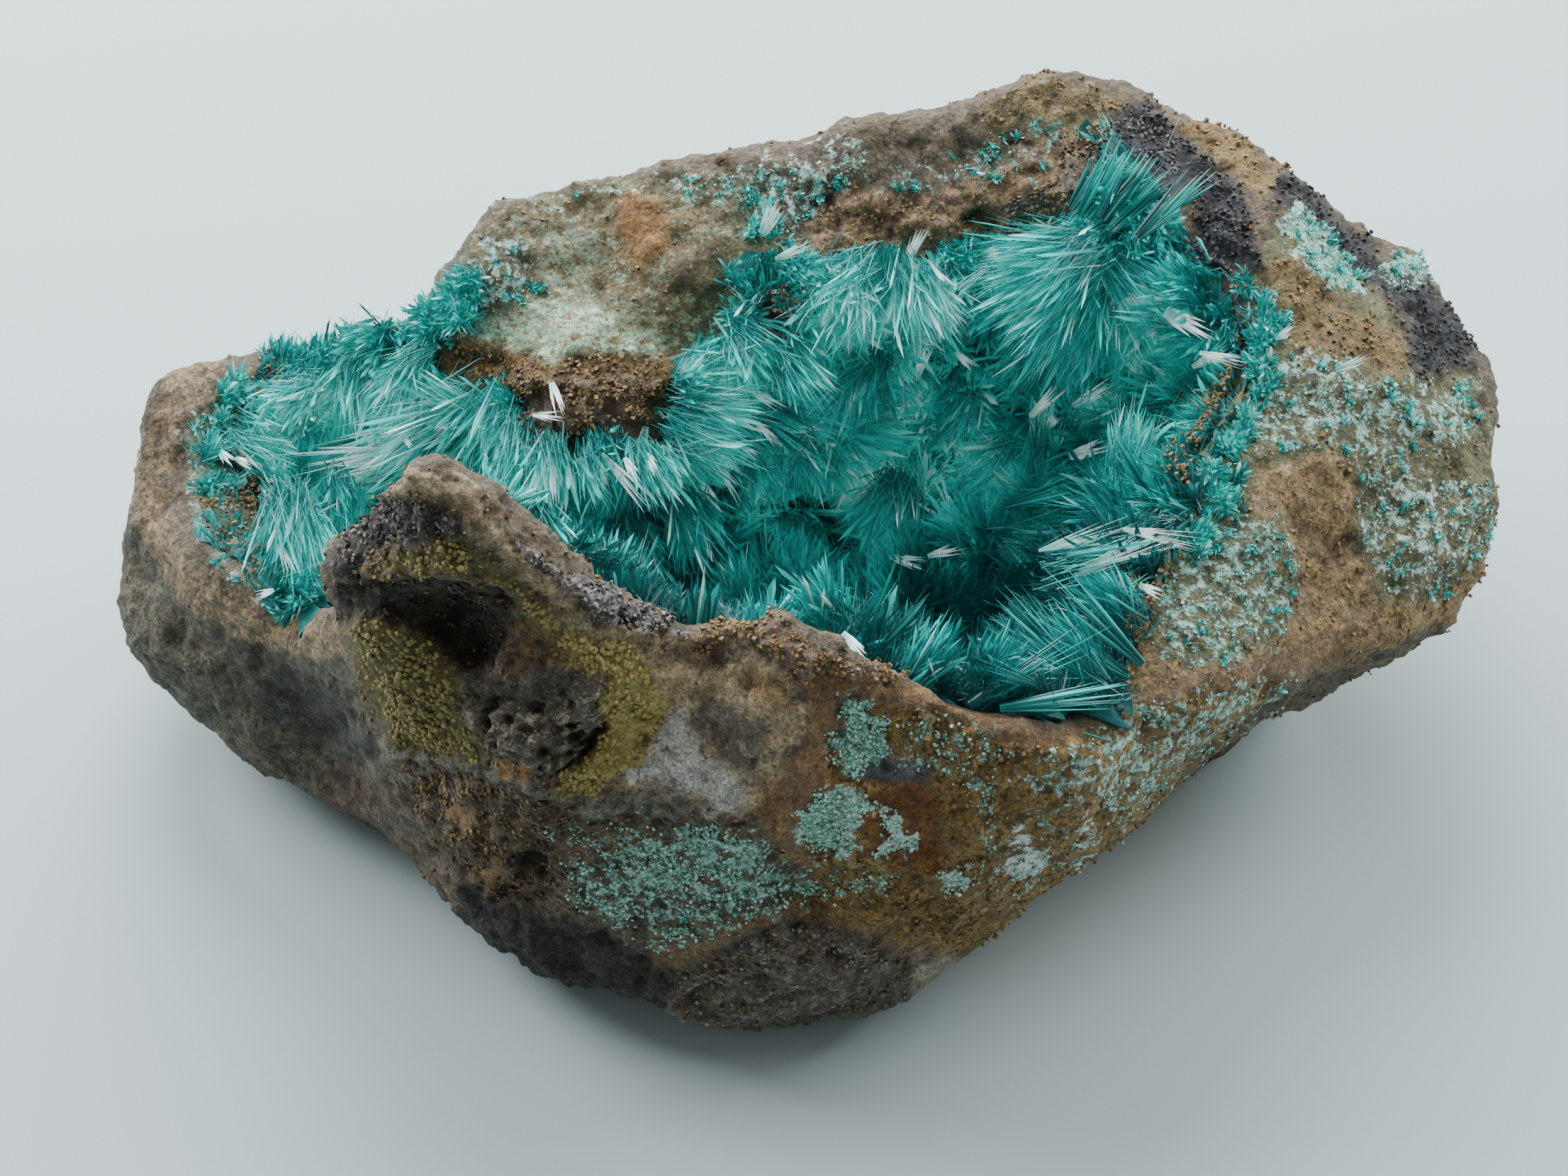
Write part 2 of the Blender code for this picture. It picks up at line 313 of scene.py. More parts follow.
rockCoats = {
    "flankMix": {"color": (0.171, 0.157, 0.073), "second": (0.1, 0.107, 0.058), "share": 0.45,
        "relief": 0.3, "grains": 0.3,
        "outline": [
            (1605, 330), (1640, 260), (1760, 320), (1830, 380), (1800, 470), (1890, 480), (1925, 600),
            (1925, 700), (1850, 790), (1700, 850), (1500, 870), (1430, 870), (1450, 740), (1520, 640),
            (1500, 560), (1560, 480), (1590, 390)]},
    "ochreRight": {"color": (0.223, 0.146, 0.055), "second": (0.106, 0.078, 0.037), "share": 0.35,
        "relief": 0.35, "grains": 0.7,
        "outline": [
            (1605, 340), (1640, 330), (1680, 342), (1722, 400), (1785, 420), (1805, 455), (1780, 482),
            (1740, 462), (1700, 472), (1650, 462), (1640, 425), (1602, 385)]},
    "ochreLow": {"color": (0.343, 0.226, 0.103), "second": (0.215, 0.146, 0.076), "share": 0.45,
        "relief": 0.3, "grains": 0.4,
        "outline": [
            (1440, 860), (1430, 800), (1500, 850), (1560, 860), (1640, 800), (1660, 740), (1640, 680),
            (1590, 640), (1610, 600), (1660, 590), (1710, 565), (1735, 620), (1725, 680), (1745, 720),
            (1760, 770), (1850, 760), (1900, 700), (1920, 720), (1850, 790), (1720, 850), (1620, 868),
            (1500, 880), (1440, 895)]},
    "tanRim": {"color": (0.242, 0.147, 0.07), "second": (0.162, 0.096, 0.043), "share": 0.4,
        "relief": 0.14,
        "outline": [
            (1180, 872), (1240, 890), (1290, 910), (1320, 922), (1350, 930), (1385, 920), (1425, 893),
            (1460, 872), (1500, 856), (1550, 846), (1600, 842), (1650, 825), (1710, 820), (1720, 850),
            (1620, 868), (1560, 872), (1500, 880), (1450, 897), (1400, 928), (1360, 948), (1320, 955),
            (1290, 950), (1250, 930), (1200, 908)]},
    "backSlope": {"color": (0.201, 0.157, 0.077), "second": (0.297, 0.361, 0.242), "share": 0.45,
        "relief": 0.25, "grains": 0.2,
        "outline": [
            (500, 425), (540, 385), (580, 345), (610, 300), (630, 262), (700, 245), (780, 232),
            (870, 222), (960, 215), (1000, 300), (1000, 400), (960, 420), (930, 440), (925, 490),
            (860, 470), (700, 470), (600, 480), (540, 500), (520, 460)]},
    "cream": {"color": (0.508, 0.69, 0.484), "second": (0.339, 0.262, 0.116), "share": 0.38,
        "relief": 0.15,
        "outline": [
            (600, 425), (640, 395), (690, 378), (760, 388), (800, 410), (860, 430), (830, 455),
            (760, 450), (700, 470), (650, 455), (610, 450)]},
    "creamRay": {"color": (0.443, 0.526, 0.364), "second": (0.28, 0.204, 0.101), "share": 0.45,
        "relief": 0.15,
        "outline": [
            (690, 290), (740, 290), (760, 330), (745, 380), (700, 385), (690, 340)]},
    "ochreLump": {"color": (0.318, 0.166, 0.055), "second": (0.212, 0.125, 0.051), "share": 0.3,
        "relief": 0.25, "raise": 0.3,
        "outline": [
            (775, 250), (830, 248), (862, 282), (852, 322), (820, 350), (800, 330), (788, 290)]},
    "ochreTwo": {"color": (0.286, 0.156, 0.055), "second": (0.191, 0.125, 0.055), "share": 0.4,
        "relief": 0.25,
        "outline": [
            (590, 340), (640, 330), (655, 370), (620, 390), (590, 375)]},
    "darkLump": {"color": (0.117, 0.094, 0.046), "second": (0.212, 0.156, 0.083), "share": 0.3,
        "relief": 0.3, "raise": 0.3,
        "outline": [
            (865, 325), (905, 310), (935, 335), (930, 370), (890, 385), (862, 360)]},
    "islandOchre": {"color": (0.256, 0.149, 0.053), "second": (0.109, 0.071, 0.034), "share": 0.45,
        "relief": 0.4, "grains": 1.5,
        "outline": [
            (525, 500), (545, 460), (580, 430), (640, 440), (700, 462), (760, 445), (820, 452),
            (868, 470), (862, 490), (800, 480), (740, 485), (680, 480), (640, 480), (600, 480),
            (560, 500)]},
    "island": {"color": (0.115, 0.08, 0.049), "second": (0.241, 0.16, 0.073), "share": 0.3,
        "relief": 0.8, "raise": 0.45, "grains": 2.4,
        "outline": [
            (518, 540), (530, 505), (560, 492), (600, 478), (650, 480), (700, 485), (750, 478),
            (800, 482), (850, 478), (878, 490), (882, 520), (900, 532), (938, 514), (912, 547),
            (882, 572), (850, 588), (822, 577), (848, 557), (860, 532), (850, 505), (832, 505),
            (826, 542), (800, 548), (762, 556), (742, 572), (705, 588), (678, 562), (662, 532),
            (655, 508), (620, 503), (598, 500), (560, 522)]},
    "brownRim": {"color": (0.38, 0.237, 0.131), "second": (0.171, 0.113, 0.082), "share": 0.42,
        "relief": 0.5, "grains": 0.8,
        "outline": [
            (1035, 275), (1080, 240), (1150, 250), (1250, 230), (1330, 180), (1405, 160), (1405, 230),
            (1350, 292), (1300, 302), (1200, 302), (1150, 332), (1080, 347), (1040, 322)]},
    "darkGap": {"color": (0.055, 0.042, 0.03), "second": (0.1, 0.07, 0.04), "share": 0.3,
        "relief": 0.5, "grains": 1.8,
        "outline": [
            (962, 400), (985, 370), (1030, 375), (1035, 400), (1000, 410), (985, 435), (965, 425)]},
    "ochreTop": {"color": (0.212, 0.156, 0.069), "second": (0.117, 0.088, 0.046), "share": 0.4,
        "relief": 0.4, "grains": 0.6,
        "outline": [
            (1250, 140), (1320, 95), (1390, 100), (1440, 125), (1420, 160), (1395, 180), (1330, 190),
            (1270, 180)]},
    "purple": {"color": (0.024, 0.025, 0.033), "second": (0.053, 0.049, 0.057), "share": 0.28,
        "relief": 0.6, "raise": 0.3, "grains": 1.8,
        "outline": [
            (1405, 190), (1425, 150), (1460, 125), (1482, 148), (1495, 178), (1532, 198), (1572, 228),
            (1592, 260), (1602, 300), (1612, 340), (1580, 352), (1540, 335), (1505, 325), (1530, 290),
            (1520, 258), (1480, 240), (1450, 205)]},
    "purpleTwo": {"color": (0.035, 0.037, 0.043), "second": (0.072, 0.071, 0.065), "share": 0.3,
        "relief": 0.5, "grains": 1,
        "outline": [
            (1605, 232), (1640, 212), (1685, 238), (1702, 275), (1745, 300), (1765, 330), (1805, 358),
            (1855, 388), (1890, 430), (1875, 465), (1820, 482), (1798, 452), (1788, 400), (1760, 372),
            (1720, 345), (1688, 312), (1668, 280)]},
    "ochreEdge": {"color": (0.265, 0.177, 0.064), "second": (0.148, 0.104, 0.051), "share": 0.35,
        "relief": 0.4, "grains": 0.7,
        "outline": [
            (1500, 160), (1540, 150), (1590, 175), (1615, 205), (1640, 215), (1610, 250), (1580, 230),
            (1545, 195)]},
    "lobeFlank": {"color": (0.12, 0.107, 0.069), "second": (0.057, 0.05, 0.035), "share": 0.45,
        "relief": 0.3, "glint": 0.1,
        "outline": [
            (110, 830), (120, 720), (150, 620), (200, 690), (240, 760), (300, 805), (380, 826),
            (445, 840), (480, 940), (520, 1010), (570, 1060), (400, 1050), (330, 985), (290, 940),
            (190, 915), (160, 850)]},
    "lobeDark": {"color": (0.053, 0.047, 0.037), "second": (0.106, 0.094, 0.069), "share": 0.35,
        "relief": 0.3,
        "outline": [
            (290, 850), (360, 845), (430, 870), (470, 930), (500, 990), (440, 960), (380, 930),
            (320, 910)]},
    "lobeBrown": {"color": (0.136, 0.092, 0.059), "second": (0.072, 0.054, 0.038), "share": 0.4,
        "relief": 0.25,
        "outline": [
            (390, 985), (440, 975), (500, 1000), (540, 1035), (470, 1045), (410, 1030)]},
    "lobeRim": {"color": (0.33, 0.225, 0.12), "second": (0.13, 0.108, 0.072), "share": 0.5,
        "relief": 0.25,
        "outline": [
            (215, 480), (250, 445), (292, 462), (300, 500), (250, 520), (225, 560), (210, 630),
            (225, 700), (255, 738), (295, 756), (350, 765), (400, 785), (450, 800), (455, 845),
            (380, 832), (300, 812), (235, 770), (195, 700), (155, 620), (170, 570), (205, 520)]},
    "lobeCream": {"color": (0.27, 0.276, 0.184), "second": (0.18, 0.148, 0.083), "share": 0.4,
        "relief": 0.2,
        "outline": [
            (235, 545), (270, 520), (320, 520), (345, 560), (335, 600), (350, 640), (345, 700),
            (320, 750), (290, 745), (262, 690), (235, 620)]},
    "lobeSpot": {"color": (0.074, 0.052, 0.028), "second": (0.148, 0.104, 0.055), "share": 0.3,
        "relief": 0.4, "raise": -0.3, "grains": 1,
        "outline": [
            (305, 600), (340, 596), (370, 620), (360, 655), (320, 650)]},
    "ochreFlank": {"color": (0.313, 0.19, 0.055), "second": (0.132, 0.082, 0.025), "share": 0.45,
        "relief": 0.25, "grains": 0.3,
        "outline": [
            (1100, 890), (1150, 897), (1250, 930), (1320, 955), (1400, 930), (1450, 900), (1560, 875),
            (1640, 872), (1600, 915), (1530, 975), (1470, 1040), (1420, 1085), (1380, 1140),
            (1300, 1185), (1230, 1222), (1150, 1215), (1100, 1185), (1000, 1160), (1040, 1110),
            (1024, 1040), (1066, 940)]},
    "tanStripe": {"color": (0.263, 0.148, 0.066), "second": (0.176, 0.107, 0.05), "share": 0.4,
        "relief": 0.15, "raise": 0.12,
        "outline": [
            (1035, 855), (1072, 856), (1112, 864), (1150, 872), (1190, 880), (1200, 905), (1150, 897),
            (1110, 887), (1078, 882), (1066, 900), (1063, 940), (1053, 980), (1048, 1012),
            (1024, 1040), (1022, 1070), (1047, 1102), (1010, 1107), (985, 1082), (972, 1052),
            (955, 1035), (975, 1003), (1000, 975), (1020, 950), (1032, 915), (1025, 880)]},
    "greyBlue": {"color": (0.09, 0.095, 0.1), "second": (0.2, 0.2, 0.18), "share": 0.3, "relief": 0.3,
        "outline": [
            (1100, 960), (1150, 970), (1185, 975), (1190, 1000), (1150, 1003), (1105, 1000),
            (1085, 992)]},
    "goethite": {"color": (0.218, 0.08, 0.012), "second": (0.102, 0.04, 0.008), "share": 0.4,
        "relief": 0.15, "raise": -0.1,
        "outline": [
            (1092, 1032), (1118, 1012), (1140, 1000), (1182, 1002), (1200, 1030), (1195, 1062),
            (1210, 1090), (1200, 1112), (1160, 1110), (1125, 1100), (1108, 1082), (1098, 1060)]},
    "redSpot": {"color": (0.233, 0.062, 0.011), "relief": 0.15,
        "outline": [
            (1088, 1036), (1103, 1033), (1110, 1048), (1096, 1056)]},
    "darkFoot": {"color": (0.024, 0.02, 0.013), "second": (0.063, 0.055, 0.041), "share": 0.4,
        "relief": 0.4, "glint": 0.1,
        "outline": [
            (583, 1105), (610, 1132), (640, 1152), (680, 1152), (720, 1168), (760, 1184), (800, 1206),
            (830, 1226), (860, 1238), (900, 1222), (950, 1192), (1000, 1172), (1060, 1176),
            (1100, 1195), (1150, 1218), (1200, 1225), (1240, 1220), (1205, 1270), (1150, 1290),
            (1000, 1320), (900, 1345), (820, 1325), (740, 1295), (640, 1262), (565, 1210), (585, 1150)]},
    "darkBottom": {"color": (0.12, 0.1, 0.075), "second": (0.22, 0.19, 0.15), "share": 0.45,
        "relief": 0.45, "glint": 0.1, "grains": 0.5,
        "outline": [
            (935, 1215), (1000, 1178), (1060, 1176), (1100, 1195), (1150, 1218), (1205, 1230),
            (1205, 1270), (1150, 1290), (1000, 1320), (900, 1345), (840, 1300), (870, 1240)]},
    "footEdge": {"color": (0.233, 0.146, 0.064), "second": (0.127, 0.088, 0.046), "share": 0.4,
        "relief": 0.2,
        "outline": [
            (820, 1202), (850, 1205), (900, 1195), (950, 1172), (1000, 1157), (1060, 1158),
            (1105, 1176), (1160, 1206), (1225, 1216), (1200, 1226), (1150, 1220), (1100, 1196),
            (1060, 1178), (1000, 1173), (950, 1193), (900, 1224), (860, 1240), (830, 1228)]},
    "paleCorner": {"color": (0.371, 0.333, 0.248), "second": (0.212, 0.177, 0.12), "share": 0.35,
        "relief": 0.2,
        "outline": [
            (1160, 1222), (1215, 1218), (1238, 1222), (1210, 1258), (1170, 1268)]},
    "spikeFoot": {"color": (0.135, 0.099, 0.05), "second": (0.07, 0.055, 0.029), "share": 0.42,
        "relief": 0.4, "glint": 0.12, "grains": 0.5,
        "outline": [
            (495, 965), (560, 975), (600, 985), (650, 1002), (700, 1022), (760, 1030), (860, 1040),
            (970, 1050), (900, 1058), (800, 1058), (742, 1078), (722, 1112), (705, 1145), (680, 1152),
            (640, 1152), (610, 1132), (583, 1105), (545, 1050), (505, 1005)]},
    "footTan": {"color": (0.297, 0.177, 0.078), "second": (0.17, 0.104, 0.051), "share": 0.3,
        "relief": 0.2,
        "outline": [
            (556, 1022), (594, 1014), (602, 1050), (590, 1068), (575, 1050)]},
    "footTanTwo": {"color": (0.318, 0.177, 0.074), "second": (0.17, 0.104, 0.051), "share": 0.3,
        "relief": 0.2,
        "outline": [
            (605, 1106), (637, 1104), (642, 1130), (616, 1134)]},
    "footTanThree": {"color": (0.212, 0.13, 0.064), "second": (0.117, 0.083, 0.046), "share": 0.4,
        "relief": 0.25,
        "outline": [
            (700, 1072), (800, 1060), (790, 1085), (740, 1105), (722, 1100)]},
    # painted shade: a near-black colour in the sunken hole
    "footHole": {"color": (0.021, 0.016, 0.009), "relief": 0.2, "raise": -0.8,
        "outline": [
            (656, 1092), (682, 1086), (694, 1104), (684, 1122), (660, 1118)]},
    "ledgeGrey": {"color": (0.212, 0.198, 0.152), "second": (0.106, 0.094, 0.064), "share": 0.4,
        "relief": 0.25,
        "outline": [
            (740, 1028), (800, 1026), (860, 1036), (900, 1046), (860, 1052), (790, 1044), (745, 1042)]},
    "spikeSkin": {"color": (0.177, 0.15, 0.103), "second": (0.089, 0.074, 0.048), "share": 0.42,
        "relief": 0.35, "glint": 0.22, "grains": 0.5,
        "outline": [
            (405, 735), (412, 700), (440, 672), (475, 648), (505, 618), (527, 598), (560, 608),
            (600, 612), (622, 640), (640, 680), (665, 705), (705, 725), (760, 742), (790, 770),
            (850, 790), (875, 815), (865, 850), (850, 900), (835, 960), (770, 1005), (720, 1022),
            (640, 1010), (560, 1030), (500, 1000), (450, 860)]},
    "quartz": {"color": (0.505, 0.384, 0.22), "second": (0.253, 0.194, 0.11), "share": 0.42,
        "relief": 0.25, "glint": 0.16,
        "outline": [
            (812, 840), (850, 835), (885, 835), (910, 845), (950, 832), (985, 842), (1003, 862),
            (1018, 885), (1030, 910), (1020, 950), (1000, 975), (975, 1000), (955, 1035), (900, 1042),
            (860, 1022), (800, 1012), (770, 1003), (815, 967), (840, 927), (847, 905), (840, 878),
            (822, 858)]},
    "quartzDark": {"color": (0.215, 0.181, 0.132), "second": (0.477, 0.408, 0.29), "share": 0.25,
        "relief": 0.25,
        "outline": [
            (870, 910), (905, 890), (950, 900), (985, 930), (985, 960), (960, 990), (930, 985),
            (905, 955), (880, 935)]},
    "whiteQuartz": {"color": (0.6, 0.561, 0.51), "second": (0.264, 0.224, 0.186), "share": 0.28,
        "relief": 0.22,
        "outline": [
            (850, 915), (868, 902), (877, 930), (892, 950), (912, 965), (932, 985), (950, 1000),
            (945, 1040), (905, 1032), (870, 1012), (835, 1002), (790, 1000), (785, 988), (820, 960),
            (838, 940)]},
    "tanInQuartz": {"color": (0.382, 0.25, 0.12), "second": (0.233, 0.156, 0.083), "share": 0.35,
        "relief": 0.25,
        "outline": [
            (935, 858), (980, 850), (1003, 868), (1006, 905), (985, 908), (960, 888), (942, 880)]},
    "spikeCrest": {"color": (0.347, 0.27, 0.158), "second": (0.224, 0.16, 0.074), "share": 0.35,
        "relief": 0.3, "raise": 0.25, "glint": 0.12,
        "outline": [
            (470, 650), (500, 625), (527, 598), (560, 608), (592, 612), (614, 630), (614, 655),
            (634, 677), (657, 705), (692, 728), (722, 752), (750, 780), (757, 796), (800, 800),
            (850, 804), (892, 820), (885, 832), (800, 818), (742, 810), (722, 788), (695, 765),
            (655, 735), (632, 705), (605, 685), (585, 655), (555, 642), (530, 640), (500, 640)]},
    "greyRidge": {"color": (0.214, 0.189, 0.2), "second": (0.082, 0.069, 0.074), "share": 0.42,
        "relief": 0.55, "raise": 0.35, "glint": 0.22, "grains": 0.8,
        "outline": [
            (655, 698), (700, 720), (715, 733), (755, 738), (780, 762), (805, 772), (845, 784),
            (875, 812), (895, 822), (850, 806), (800, 800), (757, 797), (745, 775), (715, 750),
            (690, 726)]},
    "bumpCrest": {"color": (0.174, 0.126, 0.093), "second": (0.386, 0.211, 0.093), "share": 0.28,
        "relief": 0.5, "raise": 0.3, "glint": 0.15, "grains": 0.8,
        "outline": [
            (872, 832), (903, 800), (950, 786), (985, 778), (1008, 796), (1018, 812), (1038, 828),
            (1068, 838), (1105, 848), (1155, 862), (1145, 874), (1080, 862), (1040, 856), (1030, 880),
            (1005, 852), (985, 828), (950, 815), (918, 824), (905, 838)]},
    "spikeDark": {"color": (0.065, 0.053, 0.044), "second": (0.17, 0.145, 0.115), "share": 0.36,
        "relief": 0.5, "glint": 0.25, "grains": 0.5,
        "outline": [
            (418, 735), (425, 700), (438, 662), (468, 636), (515, 628), (560, 640), (596, 672),
            (612, 705), (590, 712), (520, 694), (480, 700), (440, 745)]},
    # painted shade: the dark colour of the sunken hollow stands for the shade in it
    "hollow": {"color": (0.042, 0.032, 0.018), "second": (0.073, 0.052, 0.028), "share": 0.3,
        "relief": 0.3, "raise": -0.7, "grains": 0.3,
        "outline": [
            (413, 745), (440, 741), (500, 738), (548, 742), (580, 750), (620, 750), (652, 760),
            (657, 790), (647, 815), (630, 840), (612, 862), (590, 862), (575, 847), (560, 828),
            (530, 812), (490, 805), (455, 797), (432, 800), (422, 780)]},
    "rustPatch": {"color": (0.17, 0.094, 0.032), "second": (0.074, 0.047, 0.022), "share": 0.45,
        "relief": 0.35,
        "outline": [
            (655, 790), (680, 795), (700, 810), (715, 830), (757, 848), (745, 856), (715, 844),
            (690, 852), (670, 862), (645, 860), (635, 830), (645, 810)]},
    "knobDark": {"color": (0.058, 0.047, 0.032), "second": (0.212, 0.177, 0.12), "share": 0.2,
        "relief": 0.4, "raise": 0.4, "glint": 0.2,
        "outline": [
            (590, 862), (645, 862), (690, 852), (720, 845), (760, 856), (770, 880), (740, 885),
            (705, 885), (680, 905), (640, 900), (605, 893), (580, 880)]},
    "knob": {"color": (0.085, 0.072, 0.05), "second": (0.286, 0.257, 0.188), "share": 0.42,
        "relief": 0.5, "raise": 0.8, "glint": 0.2,
        "outline": [
            (588, 890), (610, 893), (640, 898), (680, 900), (705, 885), (740, 875), (768, 858),
            (778, 880), (780, 915), (765, 930), (745, 958), (728, 980), (712, 990), (680, 975),
            (650, 962), (615, 940), (598, 915)]},
    # painted shadow under the overhanging knob, over a sunken dip
    "knobShade": {"color": (0.021, 0.017, 0.011), "relief": 0.2, "raise": -1,
        "outline": [
            (762, 925), (780, 918), (777, 945), (757, 968), (737, 985), (714, 1002), (705, 990),
            (722, 972), (745, 952)]},
    "greyBand": {"color": (0.17, 0.156, 0.12), "second": (0.069, 0.058, 0.044), "share": 0.42,
        "relief": 0.35, "raise": 0.35, "glint": 0.12,
        "outline": [
            (488, 945), (520, 955), (560, 962), (600, 968), (650, 985), (700, 1003), (740, 1016),
            (780, 1008), (840, 1010), (880, 1020), (905, 1035), (860, 1036), (800, 1024), (740, 1028),
            (690, 1018), (640, 998), (590, 982), (540, 976), (500, 966)]},
    "rustSpot": {"color": (0.424, 0.156, 0.028), "relief": 0.15,
        "outline": [
            (638, 972), (655, 973), (672, 984), (664, 992), (646, 986)]},
    "oliveBand": {"color": (0.127, 0.114, 0.037), "relief": 0.3,
        "outline": [
            (478, 722), (505, 708), (540, 700), (560, 690), (580, 688), (598, 700), (612, 722),
            (618, 735), (600, 737), (560, 739), (545, 737), (510, 733)]},
    "oliveLeft": {"color": (0.122, 0.107, 0.028), "relief": 0.3,
        "outline": [
            (436, 802), (450, 794), (470, 800), (500, 803), (540, 810), (562, 830), (572, 850),
            (584, 870), (580, 900), (592, 930), (607, 950), (607, 967), (585, 967), (550, 960),
            (515, 954), (488, 930), (466, 895), (452, 860), (443, 830)]},
    "oliveArc": {"color": (0.159, 0.133, 0.032), "relief": 0.3,
        "outline": [
            (700, 805), (725, 800), (745, 813), (770, 820), (800, 818), (813, 838), (824, 858),
            (840, 878), (847, 905), (840, 927), (827, 948), (817, 967), (797, 983), (772, 1002),
            (745, 1012), (715, 1012), (708, 997), (725, 980), (745, 973), (762, 953), (774, 935),
            (777, 915), (774, 890), (771, 870), (768, 852), (750, 849), (725, 842), (708, 825)]},
    "oliveThread": {"color": (0.159, 0.14, 0.046), "relief": 0.3,
        "outline": [
            (612, 712), (640, 732), (672, 752), (694, 778), (709, 800), (698, 810), (680, 787),
            (655, 764), (635, 747), (613, 734)]},
}

# Blue-green cover on the rock: share of the surface, paleness, outline
tealCover = {
    "tealPatch": (0.95, 0.15, [
        (1632, 285), (1660, 262), (1700, 300), (1740, 345), (1745, 372), (1700, 365), (1660, 330)]),
    "tealSpur": (0.9, 0, [
        (1600, 375), (1630, 370), (1635, 395), (1610, 410)]),
    "tealEdge": (0.8, 0, [
        (1755, 345), (1790, 318), (1830, 335), (1820, 360), (1780, 365)]),
    "tealMid": (0.62, 0.1, [
        (1600, 445), (1700, 440), (1750, 490), (1880, 490), (1900, 560), (1750, 600), (1700, 565),
        (1620, 575), (1560, 560), (1530, 510)]),
    "tealRight": (0.58, 0.2, [
        (1735, 590), (1800, 600), (1910, 620), (1905, 690), (1870, 720), (1840, 765), (1780, 755),
        (1735, 700)]),
    "tealLow": (0.6, 0, [
        (1480, 665), (1560, 640), (1640, 655), (1655, 760), (1625, 820), (1560, 850), (1480, 840),
        (1450, 800), (1460, 720)]),
    "tealBack": (0.62, 0.25, [
        (640, 260), (760, 245), (960, 215), (1060, 180), (1090, 180), (1080, 240), (1035, 275),
        (1000, 300), (950, 260), (880, 260), (850, 230), (700, 260)]),
    "tealBackTwo": (0.42, 0, [
        (1110, 240), (1200, 200), (1330, 150), (1370, 160), (1330, 230), (1250, 240), (1150, 250)]),
    "tealLeftSlope": (0.62, 0.2, [
        (500, 425), (560, 375), (620, 300), (660, 300), (700, 380), (640, 400), (600, 430), (540, 450)]),
    "tealWest": (0.5, 0.35, [
        (240, 545), (270, 520), (330, 530), (345, 570), (330, 640), (340, 700), (320, 750), (290, 740),
        (262, 690), (235, 620)]),
    "tealRim": (0.6, 0, [
        (960, 230), (1100, 180), (1100, 220), (1000, 280)]),
    "tealFlankWide": (0.6, 0.12, [
        (1300, 990), (1345, 965), (1385, 945), (1425, 918), (1462, 897), (1502, 885), (1562, 877),
        (1622, 870), (1650, 870), (1605, 915), (1560, 950), (1520, 980), (1490, 1005), (1455, 1035),
        (1425, 1060), (1400, 1030), (1345, 1025), (1315, 1005)]),
    "tealFrontMix": (0.45, 0, [
        (1140, 905), (1190, 910), (1260, 925), (1300, 985), (1280, 1040), (1240, 1050), (1215, 1000),
        (1150, 970), (1135, 940)]),
    "tealFrontLow": (0.33, 0, [
        (1230, 1030), (1320, 1010), (1400, 1040), (1440, 1070), (1380, 1130), (1300, 1170),
        (1230, 1150), (1200, 1120), (1240, 1080)]),
    "tealApron": (0.6, 0, [
        (700, 1064), (800, 1056), (900, 1056), (960, 1060), (1000, 1092), (1015, 1115), (1055, 1118),
        (1110, 1110), (1150, 1120), (1100, 1140), (1060, 1150), (1000, 1158), (940, 1172), (900, 1195),
        (860, 1212), (820, 1196), (770, 1174), (735, 1155), (722, 1115), (742, 1082)]),
    "tealApronCore": (0.75, 0, [
        (860, 1056), (960, 1062), (990, 1095), (960, 1120), (880, 1130), (830, 1150), (800, 1120),
        (830, 1080)]),
    "tealOne": (0.97, 0, [
        (1070, 890), (1100, 893), (1107, 915), (1132, 940), (1127, 962), (1112, 975), (1100, 1000),
        (1080, 990), (1070, 968), (1056, 957), (1058, 940), (1078, 930), (1074, 910)]),
    "tealTwo": (0.97, 0.25, [
        (1043, 1012), (1080, 1007), (1107, 1013), (1112, 1030), (1097, 1045), (1087, 1060),
        (1088, 1088), (1065, 1095), (1038, 1082), (1023, 1060), (1018, 1035)]),
    "paleStar": (0.95, 0.6, [
        (1112, 1052), (1130, 1040), (1145, 1052), (1150, 1068), (1165, 1075), (1155, 1085),
        (1138, 1082), (1125, 1090), (1128, 1068)]),
    "paleSpot": (0.9, 0.75, [
        (1283, 1075), (1300, 1062), (1315, 1080), (1335, 1085), (1335, 1110), (1318, 1120),
        (1290, 1122), (1280, 1108), (1300, 1095)]),
    "paleFleck": (0.95, 0.75, [
        (1372, 1105), (1378, 1080), (1384, 1050), (1392, 1052), (1390, 1085), (1382, 1108)]),
    "paleSpotTwo": (0.9, 0.5, [
        (1205, 1115), (1222, 1108), (1236, 1120), (1232, 1140), (1212, 1140)]),
}

